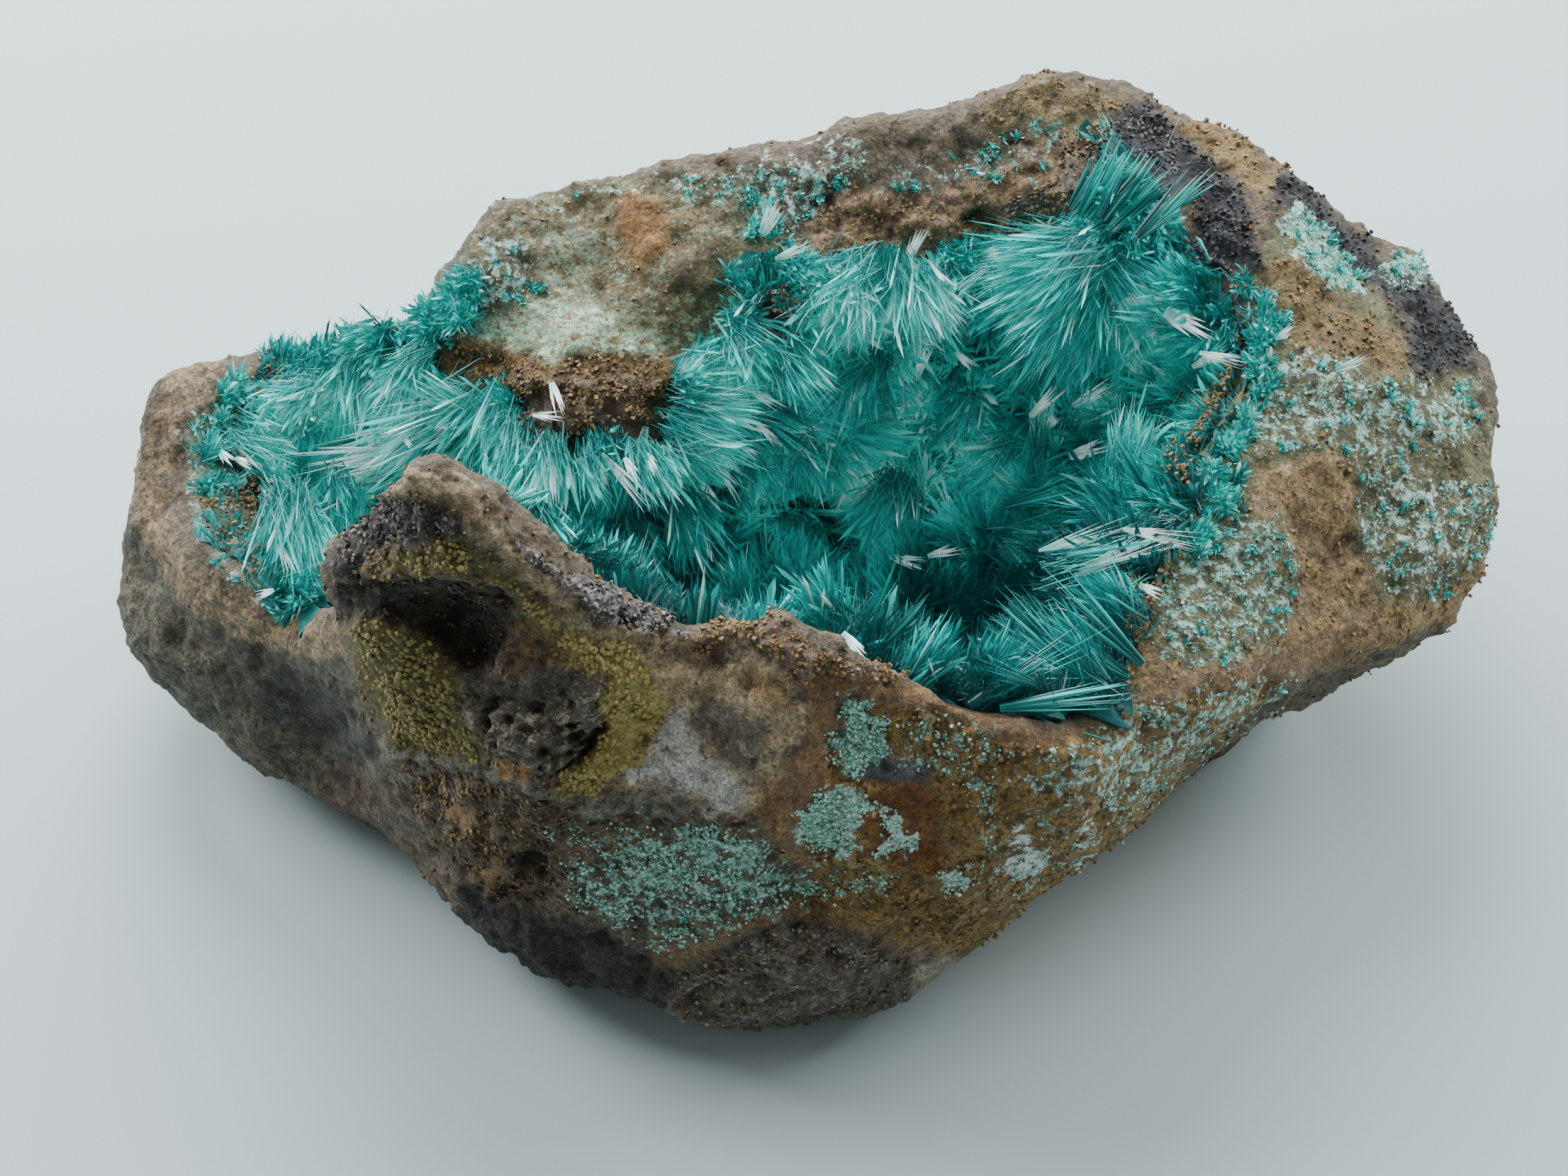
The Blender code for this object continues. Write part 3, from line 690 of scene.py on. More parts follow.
rockLook = {
    "voxel": 0.68,          # millimetres, as all sizes of the pieces
    "roundings": 3,
    "finest": [(395, 590), (560, 585), (900, 770), (1120, 840), (1300, 930), (1240, 1220),
               (860, 1260), (560, 1130)],
    "fineGap": 0.45,        # the skin is finer this far from the crust
    "fineBefore": -9.0,     # and finest on the front, at a lower y than this
    "wideEdge": 3.5,        # how much wider a thin cover's edge is than a thick one's
    "wander": 11.0,         # how far a coat's edge strays from its outline, on the board
    "coatEdge": (-8.0, 8.0),       # from nothing to full, in board units inside the outline
    "raiseEdge": (-10.0, 14.0),
    "coverEdge": (-14.0, 10.0),
    "carriesRound": (2.5, 8.0),    # what is seen fades over this distance on the hidden sides
    "underCrust": 0.12,            # height of the skin under the crust
    "sunk": 0.08,                  # and how much lower all of it lies than its relief
    "groundFade": (1.2, 0.2),      # heights over which the relief dies out above the ground
    "olivePale": (620.0, 780.0),   # where the olive skin turns paler, along the board
    "oliveColors": ((0.14, 0.122, 0.034, 1), (0.48, 0.4, 0.13, 1)),
    # painted shade, laid into the dips of the relief
    "creviceShadeColor": (0.014, 0.011, 0.008, 1),
    "speckColor": (0.025, 0.02, 0.016, 1),
    "glintColor": (0.42, 0.41, 0.39, 1),
    "tealTones": [(0.4, (0.06, 0.12, 0.085)), (0.46, (0.19, 0.45, 0.36)), (0.54, (0.4, 0.73, 0.6)),
                  (0.68, (0.9, 0.98, 0.92))],
    "grit": [(0.00032, 0.00011), (0.0009, 0.00012)],   # size and height of the bump's grains, metres
}

# The rock before its coats
plainLook = {
    "coat": (0.16, 0.12, 0.075), "coatTwo": (0.085, 0.07, 0.052), "share": 0.42, "relief": 0.3,
    "raise": 0.0, "glint": 0.0, "grains": 0.1, "olive": 0.0, "cover": 0.0, "pale": 0.0,
}

# What lies out of the front view turns to plain weathered rock
farLook = {
    "coat": (0.15, 0.11, 0.07), "coatTwo": (0.075, 0.062, 0.048), "share": 0.42,
    "relief": 0.35, "raise": 0.0, "glint": 0.0, "grains": 0.15, "olive": 0.0, "pale": 0.2,
}
farBrown = {"coat": (0.2, 0.125, 0.06), "weight": 0.8}
farDark = {"coat": (0.05, 0.042, 0.035), "coatTwo": (0.12, 0.1, 0.08), "weight": 0.85}

# Coats of the hidden sides: colour, second colour, share of it, spots as x, y, z, radius
farCoats = {
    "back": ((0.15, 0.11, 0.07), (0.075, 0.062, 0.048), 0.4, [(0, 20, 12, 22), (-20, 14, 10, 14)]),
    "under": ((0.13, 0.105, 0.08), (0.07, 0.06, 0.05), 0.45,
              [(0, 0, -6, 16), (-22, 0, -4, 12), (20, 4, -4, 14)]),
}


def makeRockMaterial():
    material, tree, shader = newMaterial("limonite and quartz rock")
    place = tree.nodes.new("ShaderNodeTexCoord").outputs["Object"]
    first = useGroup(tree, mottleGroup, place, Color=attribute(tree, "coat", "Color"), Amount=1.0,
                     Blotch_Size=0.0008, Grain_Size=0.00017)
    second = useGroup(tree, mottleGroup, place, Color=attribute(tree, "coatTwo", "Color"), Amount=1.0,
                      Blotch_Size=0.0006, Grain_Size=0.00015)
    share = useGroup(tree, patchGroup, place, Cover=attribute(tree, "share"), Size=0.0005, Edge=0.16)
    stone = mixColor(tree, share, first, second)
    olive = useGroup(tree, patchGroup, place, Cover=attribute(tree, "olive"), Size=0.0004, Edge=0.3)
    oliveColor = mixColor(tree, attribute(tree, "pale"), *rockLook["oliveColors"])
    oliveTone = useGroup(tree, mottleGroup, place, Color=oliveColor, Amount=0.5,
                         Blotch_Size=0.0016, Grain_Size=0.00018)
    stone = mixColor(tree, olive, stone, oliveTone)
    # Painted shade: the rock turns darker where its relief dips low, in crevices and pits
    creviceShade = attribute(tree, "creviceShade")
    stone = mixColor(tree, mathNode(tree, "MULTIPLY", creviceShade, 0.8), stone, rockLook["creviceShadeColor"])
    patch = useGroup(tree, patchGroup, place, Cover=attribute(tree, "cover"), Size=0.0006, Edge=0.3)
    toneField = mathNode(tree, "ADD", noiseNode(tree, place, 0.0003, 6.0, 0.85),
                         mathNode(tree, "MULTIPLY", attribute(tree, "pale"), 0.35))
    tealTone = rampNode(tree, toneField, rockLook["tealTones"])
    stone = mixColor(tree, patch, stone, tealTone)
    specks = useGroup(tree, patchGroup, place, Cover=0.38, Size=0.00022, Edge=0.25)
    stone = mixColor(tree, mathNode(tree, "MULTIPLY", specks, 0.5), stone, rockLook["speckColor"])
    # pale specks: partly quartz grains, partly painted glints of tiny crystals
    glint = useGroup(tree, patchGroup, place, Cover=attribute(tree, "glint"), Size=0.0002, Edge=0.2)
    stone = mixColor(tree, mathNode(tree, "MULTIPLY", glint, 0.75), stone, rockLook["glintColor"])
    tree.links.new(stone, shader.inputs["Base Color"])
    rough = addNode(tree, "ShaderNodeMapRange", From_Min=0.3, From_Max=0.7, To_Min=0.5, To_Max=0.95)
    tree.links.new(noiseNode(tree, place, 0.0003), rough.inputs["Value"])
    tree.links.new(rough.outputs["Result"], shader.inputs["Roughness"])
    grits = [useGroup(tree, gritGroup, place, Size=size, Amount=tall) for size, tall in rockLook["grit"]]
    grains = mathNode(tree, "ADD", *grits)
    raised = mathNode(tree, "ADD", grains, mathNode(tree, "MULTIPLY", patch, 0.0001))
    bump = addNode(tree, "ShaderNodeBump", Strength=1.0, Distance=1.0)
    tree.links.new(raised, bump.inputs["Height"])
    tree.links.new(bump.outputs["Normal"], shader.inputs["Normal"])
    return material


def divideWhere(bm, chosen):
    # splits each face whose corners are all chosen into four
    edges = [edge for edge in bm.edges if all(chosen[vert.index] for vert in edge.verts)]
    bmesh.ops.subdivide_edges(bm, edges=edges, cuts=1, use_grid_fill=True)
    bmesh.ops.triangulate(bm, faces=[face for face in bm.faces if len(face.verts) > 4])
    bm.normal_update()
    bm.verts.index_update()


def vertArrays(bm):
    return np.array([vert.co for vert in bm.verts]), np.array([vert.normal for vert in bm.verts])


def rockSkin(rockSolid, crustSolid):
    # the solid rock, remeshed evenly, rounded a little and made finer where it shows most
    coarse = bpy.data.meshes.new("rockCoarse")
    rockSolid.to_mesh(coarse)
    holder = bpy.data.objects.new("rockCoarse", coarse)
    bpy.context.scene.collection.objects.link(holder)
    remesh = holder.modifiers.new("voxels", "REMESH")
    remesh.mode = "VOXEL"
    remesh.voxel_size = rockLook["voxel"]
    bm = bmesh.new()
    bm.from_object(holder, bpy.context.evaluated_depsgraph_get())
    bpy.data.objects.remove(holder)
    for _ in range(rockLook["roundings"]):
        bmesh.ops.smooth_vert(bm, verts=bm.verts, factor=0.5, use_axis_x=True, use_axis_y=True,
                              use_axis_z=True)
    bm.normal_update()
    points, normals = vertArrays(bm)
    seen = seenFromFront(points, normals, rockSolid, crustSolid)
    divideWhere(bm, seen & (distanceTo(crustSolid, points) > rockLook["fineGap"]))
    points, normals = vertArrays(bm)
    seen = seenFromFront(points, normals, rockSolid)
    front = insideDepth(drawnPlaces(points), rockLook["finest"]) > 0
    divideWhere(bm, seen & front & (points[:, 1] < rockLook["fineBefore"]))
    return bm


def distanceTo(solid, points, limit=3.0):
    tree = BVHTree.FromBMesh(solid)
    return np.array([tree.find_nearest(Vector(p), limit)[3] or limit for p in points.tolist()])


def setAttribute(mesh, name, values):
    if values.ndim == 1:
        layer = mesh.attributes.new(name, "FLOAT", "POINT")
        layer.data.foreach_set("value", values.astype(np.float32))
        return
    layer = mesh.attributes.new(name, "FLOAT_COLOR", "POINT")
    colors = np.column_stack([values, np.ones(len(values))])
    layer.data.foreach_set("color", colors.astype(np.float32).ravel())


def blendTowards(values, goal, weight):
    if values.ndim == 2:
        weight = weight[:, None]
    return values + (np.array(goal) - values) * weight


def rockCoating(points, seen):
    # colour, second colour, share of it, relief, raise and so on of each point, from the coats
    count = len(points)
    coating = {key: np.full((count, 3) if isinstance(value, tuple) else count, value)
               for key, value in plainLook.items()}
    places = drawnPlaces(points)
    wave = np.column_stack([noiseField(points, 0.9, 2.0), noiseField(points, 0.35, 5.0)]) @ (1.0, 0.7)
    for name, look in rockCoats.items():
        depth = insideDepth(places, look["outline"]) + wave * rockLook["wander"]
        weight = smoothStep(*rockLook["coatEdge"], depth)
        coating["coat"] = blendTowards(coating["coat"], look["color"], weight)
        coating["coatTwo"] = blendTowards(coating["coatTwo"], look.get("second", look["color"]), weight)
        for key in ("share", "relief", "glint", "grains"):
            coating[key] = blendTowards(coating[key], look.get(key, 0.0), weight)
        lifted = smoothStep(*rockLook["raiseEdge"], depth)
        coating["raise"] = blendTowards(coating["raise"], look.get("raise", 0.0), lifted)
        isOlive = 0.62 + depth * 0.035 if name.startswith("olive") else 0.0
        covers = weight if not name.startswith("olive") else (depth > -14).astype(float)
        coating["olive"] = blendTowards(coating["olive"], 0.0, covers) + np.clip(isOlive, 0.0, 1.2) * covers
    for amount, pale, outline in tealCover.values():
        depth = insideDepth(places, outline) + wave * 1.4 * rockLook["wander"]
        soft = rockLook["wideEdge"] if amount < 0.7 else 1.0
        low, high = rockLook["coverEdge"]
        here = amount * smoothStep(low * soft, high * soft, depth)
        coating["pale"] = np.where(here > coating["cover"], pale, coating["pale"])
        coating["cover"] = np.maximum(coating["cover"], here)
    coating["pale"] = np.where(coating["olive"] > 0.3, smoothStep(*rockLook["olivePale"], places[:, 0]),
                               coating["pale"])
    return carryRound(points, seen, coating)


def carryRound(points, seen, coating):
    # what the front view hides takes after the nearest place that it shows, then turns plain
    tree = KDTree(int(seen.sum()))
    for i in np.nonzero(seen)[0]:
        tree.insert(points[i], int(i))
    tree.balance()
    source = np.arange(len(points))
    distance = np.zeros(len(points))
    for i in np.nonzero(~seen)[0]:
        _, source[i], distance[i] = tree.find(points[i])
    wave = noiseField(points, 3.0, 7.0) * 2.5
    fade = smoothStep(*rockLook["carriesRound"], distance + wave)
    for key in coating:
        coating[key] = coating[key][source]
    for key, value in farLook.items():
        coating[key] = blendTowards(coating[key], value, fade)
    coating["cover"] = blendTowards(coating["cover"], 0.0, fade) + farTeal(points) * fade
    for first, second, share, spots in farCoats.values():
        weight = spotWeight(points, spots, wave, 3.0) * fade
        coating["coat"] = blendTowards(coating["coat"], first, weight)
        coating["coatTwo"] = blendTowards(coating["coatTwo"], second, weight)
        coating["share"] = blendTowards(coating["share"], share, weight)
    brown = smoothStep(-0.15, 0.45, noiseField(points, 5.0, 12.0)) * fade
    coating["coat"] = blendTowards(coating["coat"], farBrown["coat"], brown * farBrown["weight"])
    dark = smoothStep(0.1, 0.45, noiseField(points, 3.5, 31.0)) * fade
    for key in ("coat", "coatTwo"):
        coating[key] = blendTowards(coating[key], farDark[key], dark * farDark["weight"])
    return coating


def farTeal(points):
    # thin blue-green dusting low on the back, as on the sides that show
    return 0.34 * smoothStep(6.0, 20.0, points[:, 2]) * smoothStep(-0.35, 0.35, noiseField(points, 7.0, 3.0))


def reliefOf(points, coating):
    large = noiseField(points, 1.5, 3.7)
    middle = noiseField(points, 0.75, 6.1)
    crumbs = noiseField(points, 0.4, 9.1)
    broken = 0.1 - np.abs(noiseField(points, 2.6, 5.3)) * 0.8
    shape = coating["relief"] * (0.75 * large + 0.7 * middle + 0.5 * crumbs + 0.5 * broken)
    olive = np.clip(coating["olive"], 0.0, 1.0)
    beads = (0.5 - cellField(points, 0.58)) * 0.42
    shape = blendTowards(shape, beads, olive)
    pits = smoothStep(0.4, 0.16, cellField(points, 0.95)) * -0.5
    knobby = smoothStep(0.45, 0.7, coating["raise"])
    return shape + pits * knobby + coating["raise"], crumbs


def buildRock():
    rockSolid = cadMesh("matrix")
    crustSolid = cadMesh("aurichalcite_crust")
    bm = rockSkin(rockSolid, crustSolid)
    points, normals = vertArrays(bm)
    seen = seenFromFront(points, normals, rockSolid)
    coating = rockCoating(points, seen)
    shape, crumbs = reliefOf(points, coating)
    covered = smoothStep(1.0, 0.35, distanceTo(crustSolid, points))
    shape = blendTowards(shape, rockLook["underCrust"], covered)
    nearGround = smoothStep(*rockLook["groundFade"], points[:, 2])
    shape = np.where(nearGround > 0, shape * (1.0 - nearGround), shape)
    moved = points + normals * (shape - rockLook["sunk"])[:, None]
    moved[:, 2] = np.maximum(moved[:, 2], 0.0)
    for vert, place in zip(bm.verts, moved.tolist()):
        vert.co = place
    rockSolid.free()
    crustSolid.free()
    piece = newPiece("rock", bm, makeRockMaterial())
    # painted shade: darker where the relief dips below the surface, except under the crust
    low = shape - coating["raise"] * 0.6
    coating["creviceShade"] = smoothStep(0.0, -0.4, low + 0.06 * crumbs) * (1.0 - covered)
    for name in ("coat", "coatTwo", "share", "cover", "pale", "olive", "glint", "creviceShade"):
        setAttribute(piece.data, name, coating[name])
    piece.data.shade_smooth()
    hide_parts("matrix")
    print("rock:", len(piece.data.polygons), "faces")
    return moved, normals, coating, seen, covered


rockPoints, rockNormals, rockCoat, rockSeen, rockCovered = buildRock()


# Many small copies of one shape

copyOverhang = 0.6     # millimetres that a copy may reach out of the solids' box


def templateArrays(bm):
    # corner places and triangles of a small shape
    bmesh.ops.triangulate(bm, faces=bm.faces)
    bm.verts.index_update()
    corners = np.array([vert.co for vert in bm.verts])
    faces = np.array([[vert.index for vert in face.verts] for face in bm.faces])
    bm.free()
    return corners, faces


def needleTemplate():
    # a three-sided needle, one unit long, open at its foot
    bm = bmesh.new()
    bmesh.ops.create_cone(bm, segments=3, radius1=1.0, radius2=0.0, depth=1.0, cap_ends=False)
    bmesh.ops.translate(bm, verts=bm.verts, vec=(0, 0, 0.5))
    bmesh.ops.remove_doubles(bm, verts=bm.verts, dist=1e-5)
    return templateArrays(bm)


def lathTemplate(thickness, shoulder=0.8):
    # a three-sided lath with a slanting point, one unit long and two wide, open at its foot
    bm = bmesh.new()
    bmesh.ops.create_cone(bm, segments=3, radius1=0.7, radius2=1.15, depth=shoulder, cap_ends=False)
    bmesh.ops.translate(bm, verts=bm.verts, vec=(0, 0, shoulder / 2))
    top = [edge for edge in bm.edges if all(vert.co.z > shoulder * 0.9 for vert in edge.verts)]
    grown = bmesh.ops.extrude_edge_only(bm, edges=top)
    tip = [item for item in grown["geom"] if isinstance(item, bmesh.types.BMVert)]
    bmesh.ops.pointmerge(bm, verts=tip, merge_co=(0.45, -0.1, 1.0))
    bmesh.ops.scale(bm, vec=(1, thickness, 1), verts=bm.verts)
    return templateArrays(bm)


def crumbTemplate():
    # an angular crumb of 12 faces, about one unit in radius
    bm = bmesh.new()
    bmesh.ops.create_cube(bm, size=1.3)
    for vert in bm.verts:
        vert.co *= 1.0 + 0.45 * noise.noise(vert.co * 1.9)
    return templateArrays(bm)


def beadTemplate():
    bm = bmesh.new()
    bmesh.ops.create_icosphere(bm, subdivisions=1, radius=1.0)
    return templateArrays(bm)


def unit(vectors):
    return vectors / np.linalg.norm(vectors, axis=1)[:, None]


def framesAlong(directions, chance, facing=None):
    # right-handed frames whose z follows each direction, turned at random or with y facing a way
    z = unit(directions)
    if facing is None:
        side = chance.normal(size=z.shape)
    else:
        side = np.cross(np.broadcast_to(facing, z.shape), z)
    x = unit(side - z * np.sum(side * z, axis=1)[:, None])
    return np.stack([x, np.cross(z, x), z], axis=1)


def joinCopies(name, template, places, frames, sizes, tones, material):
    # one mesh with a copy of the template at each place; its UV map holds each copy's tone and height
    # copies that would reach well out of the solids' box are left out
    corners, faces = template
    local = corners[None, :, :] * sizes[:, None, :]
    world = (np.einsum("nki,nij->nkj", local, frames) + places[:, None, :]) * mm
    over = np.maximum(world.max(axis=1) - solidBox[1], solidBox[0] - world.min(axis=1)).max(axis=1)
    kept = over < copyOverhang * mm
    world, tones, count, cornerCount = world[kept], tones[kept], int(kept.sum()), len(corners)
    world[:, :, 2] = np.maximum(world[:, :, 2], 0.0)
    offsets = np.arange(count)[:, None, None] * cornerCount
    triangles = (faces[None, :, :] + offsets).reshape(-1)
    mesh = bpy.data.meshes.new(name)
    mesh.vertices.add(count * cornerCount)
    mesh.vertices.foreach_set("co", world.astype(np.float32).ravel())
    mesh.loops.add(len(triangles))
    mesh.loops.foreach_set("vertex_index", triangles.astype(np.int32))
    mesh.polygons.add(len(triangles) // 3)
    mesh.polygons.foreach_set("loop_start", np.arange(0, len(triangles), 3, dtype=np.int32))
    low, high = corners[:, 2].min(), corners[:, 2].max()
    along = (corners[:, 2] - low) / (high - low) * 0.96 + 0.02
    across = corners[:, 0] / np.abs(corners[:, 0]).max() * 0.003
    u = np.clip(tones, 0.01, 0.99)[:, None] + across[None, :]
    v = np.tile(along, (count, 1))
    uv = np.stack([u.reshape(-1)[triangles], v.reshape(-1)[triangles]], axis=1)
    layer = mesh.uv_layers.new(name="OFBake")
    layer.uv.foreach_set("vector", uv.astype(np.float32).ravel())
    mesh.update(calc_edges=True)
    mesh.shade_flat()
    piece = placePiece(name, mesh, material)
    print(name + ":", count, "copies,", len(mesh.polygons), "triangles")
    return piece


def makeFibreMaterial(name, rootStops, tipStops, change, roughness, glow=0.0):
    # along each copy the colour goes from the root ramp to the tip ramp; the ramps run over the tone
    material, tree, shader = newMaterial(name)
    uvMap = tree.nodes.new("ShaderNodeUVMap")
    uvMap.uv_map = "OFBake"
    split = tree.nodes.new("ShaderNodeSeparateXYZ")
    tree.links.new(uvMap.outputs["UV"], split.inputs[0])
    root = rampNode(tree, split.outputs["X"], rootStops)
    tip = rampNode(tree, split.outputs["X"], tipStops)
    color = mixColor(tree, stretched(tree, split.outputs["Y"], *change), root, tip)
    tree.links.new(color, shader.inputs["Base Color"])
    shader.inputs["Roughness"].default_value = roughness
    # painted glow: the colour glows a little, standing in for light that passes through the crystals
    if glow:
        tree.links.new(color, shader.inputs["Emission Color"])
        shader.inputs["Emission Strength"].default_value = glow
        material.cycles.emission_sampling = "NONE"
    return material


# Crystals in the hollow

crystalLook = {
    "sprays": 820,
    "sprayFibres": 42000,
    "lawnFibres": 42000,
    "laths": 21000,
    "fibreWidth": (0.022, 0.048),
    "lathWidth": (0.045, 0.15),
    "fans": (20000, 6500),       # needles and laths, as the next one
    "clinging": (26000, 11000),
    "sprayLength": (1.1, 1.0),   # times the solid's crystal, and millimetres more
    "sprayLimits": (1.8, 5.0),
    "lawnLength": (0.75, 0.7),
    "lawnLimits": (1.2, 3.4),
    "fanShare": 0.45,            # share of the sprays that are flat
    "opening": (0.5, 1.2),       # half the angle of a spray, radians
    "highest": 28.0,             # clinging crystals grow below this height
    "glow": 0.14,                # painted glow, standing in for light that the clear crystals pass on
    "glints": 0.05,              # share of laths painted near white, as painted glints
    # x, y and radius on the board, change of tone; the strongly darker spots low toward the front rim are
    # painted shade from the rim, the paler ones paler crystals
    "tones": [
        (640, 560, 90, 0.06), (1180, 600, 140, 0.08), (1380, 350, 110, 0.1), (1280, 400, 90, 0.08),
        (420, 540, 150, 0.24), (400, 730, 90, 0.12), (620, 580, 110, 0.14), (760, 600, 110, 0.16),
        (910, 550, 120, 0.2), (1080, 390, 110, 0.3), (1180, 420, 80, 0.16), (1400, 350, 130, 0.1),
        (1150, 570, 150, 0.16), (1000, 620, 110, 0.1), (800, 730, 150, -0.4),
        (660, 690, 70, -0.16), (940, 790, 110, -0.2), (1130, 770, 140, -0.22),
        (1330, 810, 190, -0.72), (1330, 560, 60, -0.14), (1450, 640, 120, -0.1),
        (1470, 450, 80, 0.08), (1540, 380, 60, -0.08), (1420, 720, 80, 0.05)],
}

rootTeal = [(0.0, (0.0, 0.03, 0.034)), (0.5, (0.0, 0.14, 0.135)), (1.0, (0.012, 0.36, 0.33))]
# the tip ramp ends in near white, for pale tips and the painted glints
tipTeal = [(0.0, (0.0, 0.08, 0.08)), (0.25, (0.0, 0.24, 0.23)), (0.5, (0.01, 0.5, 0.46)),
           (0.78, (0.05, 0.74, 0.67)), (0.9, (0.38, 0.9, 0.84)), (1.0, (0.92, 1.0, 0.98))]


def solidCrystalData(rockTree):
    # foot, tip, foot area and foot corners of each faceted crystal of the solid crust
    crust = cadMesh("aurichalcite_crust")
    feet, tips, areas, corners = [], [], [], []
    for vert in crust.verts:
        if len(vert.link_faces) != 3 or rockTree.find_nearest(vert.co)[3] < 0.75:
            continue
        ring = {other for face in vert.link_faces for other in face.verts if other is not vert}
        if len(ring) != 3:
            continue
        ring = sorted(ring, key=lambda corner: tuple(corner.co))
        foot = sum((corner.co for corner in ring), Vector()) / 3.0
        side = (ring[1].co - ring[0].co).cross(ring[2].co - ring[0].co)
        feet.append(foot)
        tips.append(vert.co.copy())
        areas.append(side.length / 2.0)
        corners.append([corner.co.copy() for corner in ring])
    crust.free()
    return np.array(feet), np.array(tips), np.array(areas), np.array(corners)


def growthAt(places):
    # direction and length of growth at each place, from the four nearest crystals of the solid
    feet, tips = solidCrystals[:2]
    tree = KDTree(len(feet))
    for i, foot in enumerate(feet.tolist()):
        tree.insert(foot, i)
    tree.balance()
    growth = tips - feet
    result = np.empty((len(places), 3))
    for i, place in enumerate(places.tolist()):
        total, weight = np.zeros(3), 0.0
        for _, j, distance in tree.find_n(place, 4):
            share = 1.0 / (distance * distance + 0.3)
            total += growth[j] * share
            weight += share
        result[i] = total / weight
    length = np.linalg.norm(result, axis=1)
    return result / length[:, None], length


def placesOnCrust(count, chance):
    feet, _, areas, corners = solidCrystals
    ring = corners[chance.choice(len(feet), size=count, p=areas / areas.sum())]
    cut = np.sort(chance.random((count, 2)), axis=1)
    # two cuts of a unit length share it out between the three corners of a foot
    return ring[:, 0] * cut[:, :1] + ring[:, 1] * (cut[:, 1:] - cut[:, :1]) + ring[:, 2] * (1 - cut[:, 1:])


def plantSprays(chance):
    # foot, frame, length, opening, flatness and tone of each spray
    count = crystalLook["sprays"]
    places = placesOnCrust(count, chance)
    growth, length = growthAt(places)
    axis = unit(growth + chance.normal(size=(count, 3)) * 0.3)
    times, more = crystalLook["sprayLength"]
    length = np.clip(length * times + more, *crystalLook["sprayLimits"]) * chance.uniform(0.6, 1.1, count)
    return {"place": places - axis * 0.35, "frame": framesAlong(axis, chance), "length": length,
            "opening": chance.uniform(*crystalLook["opening"], count),
            "flat": np.where(chance.random(count) < crystalLook["fanShare"], 0.3, 1.0),
            "tone": chance.normal(0.0, 0.1, count)}


def toneAt(ends):
    tone = 0.45 + noiseField(ends, 2.5, 1.3) * 0.35
    places = drawnPlaces(ends)
    # the drawn spots, with painted shade low along the front rim
    for x, y, radius, change in crystalLook["tones"]:
        distance = np.linalg.norm(places - np.array((x, y)), axis=1)
        tone += change * smoothStep(1.25, 0.3, distance / radius)
    return tone


def fibresFrom(sprays, count, lengths, chance):
    # start, direction, length and tone of fibres that fan out from the sprays
    weight = (sprays["length"] * np.sin(sprays["opening"])) ** 2 * np.sqrt(sprays["flat"])
    pick = chance.choice(len(weight), size=count, p=weight / weight.sum())
    angle = sprays["opening"][pick] * np.sqrt(chance.random(count))
    turn = chance.uniform(0, 2 * math.pi, count)
    flat = sprays["flat"][pick]
    wide = np.sin(angle)
    local = np.column_stack([wide * np.cos(turn), wide * np.sin(turn) * flat, np.cos(angle)])
    direction = np.einsum("ni,nij->nj", local, sprays["frame"][pick])
    direction = unit(direction + chance.normal(size=(count, 3)) * 0.1)
    reach = 1.0 - 0.3 * (angle / sprays["opening"][pick]) ** 2
    length = sprays["length"][pick] * reach * chance.uniform(*lengths, count)
    offset = chance.normal(size=(count, 3)) * (0.12 * sprays["length"][pick])[:, None]
    return sprays["place"][pick] + offset, direction, length, sprays["tone"][pick]


def fibresOfLawn(count, lengths, chance):
    # start, direction, length and tone of fibres that fill the ground between the sprays
    places = placesOnCrust(count, chance)
    growth, length = growthAt(places)
    bend = np.column_stack([noiseField(places, 1.6, shift) for shift in (11.0, 23.0, 37.0)])
    direction = unit(growth + bend * 1.5 + chance.normal(size=(count, 3)) * 0.2)
    times, more = crystalLook["lawnLength"]
    length = np.clip(length * times + more, *crystalLook["lawnLimits"]) * chance.uniform(*lengths, count)
    return places - direction * 0.3, direction, length, noiseField(places, 1.1, 4.0) * 0.25


# Where grains of rock take the place of crystals on the crust: outline on the board, share, colours
grainyPlaces = {
    "purple": ([(1405, 190), (1412, 135), (1450, 95), (1505, 120), (1570, 175), (1620, 255), (1645, 340),
                (1580, 352), (1540, 335), (1505, 325), (1530, 290), (1520, 258), (1480, 240), (1450, 205)],
               1.0, (0.046, 0.043, 0.053), (0.10, 0.085, 0.09)),
    "purpleTail": ([(1560, 325), (1612, 335), (1628, 400), (1618, 478), (1588, 474), (1584, 410),
                    (1560, 370)], 0.8, (0.06, 0.048, 0.045), (0.11, 0.085, 0.065)),
    "island": (rockCoats["island"]["outline"], 0.95, (0.062, 0.043, 0.028), (0.13, 0.085, 0.042)),
    "darkGap": (rockCoats["darkGap"]["outline"], 1.0, (0.055, 0.042, 0.03), (0.10, 0.07, 0.04)),
    "brownRim": (rockCoats["brownRim"]["outline"], 1.0, (0.14, 0.105, 0.065), (0.06, 0.05, 0.04)),
    "ochreEdge": ([(1478, 520), (1540, 500), (1600, 430), (1650, 400), (1650, 500), (1590, 600), (1560, 660),
                   (1530, 740), (1500, 800), (1490, 880), (1450, 905), (1436, 860), (1440, 790), (1420, 740),
                   (1480, 725), (1520, 660), (1500, 600)], 0.55, (0.25, 0.155, 0.055), (0.13, 0.09, 0.045)),
    "leftEdge": ([(230, 480), (300, 480), (330, 560), (350, 640), (330, 700), (340, 760), (300, 780),
                  (240, 640)], 0.5, (0.2, 0.145, 0.085), (0.11, 0.085, 0.06)),
    "lobeSpot": ([(285, 590), (330, 610), (350, 650), (310, 660), (285, 640)], 0.95, (0.07, 0.055, 0.04),
                 (0.14, 0.1, 0.06)),
    "lobeBack": ([(325, 455), (352, 462), (364, 490), (335, 492)], 0.9, (0.09, 0.07, 0.06),
                 (0.14, 0.1, 0.08)),
    "frontSpot": ([(1368, 830), (1390, 832), (1394, 858), (1372, 860)], 1.0, (0.12, 0.06, 0.035),
                  (0.2, 0.12, 0.07))}


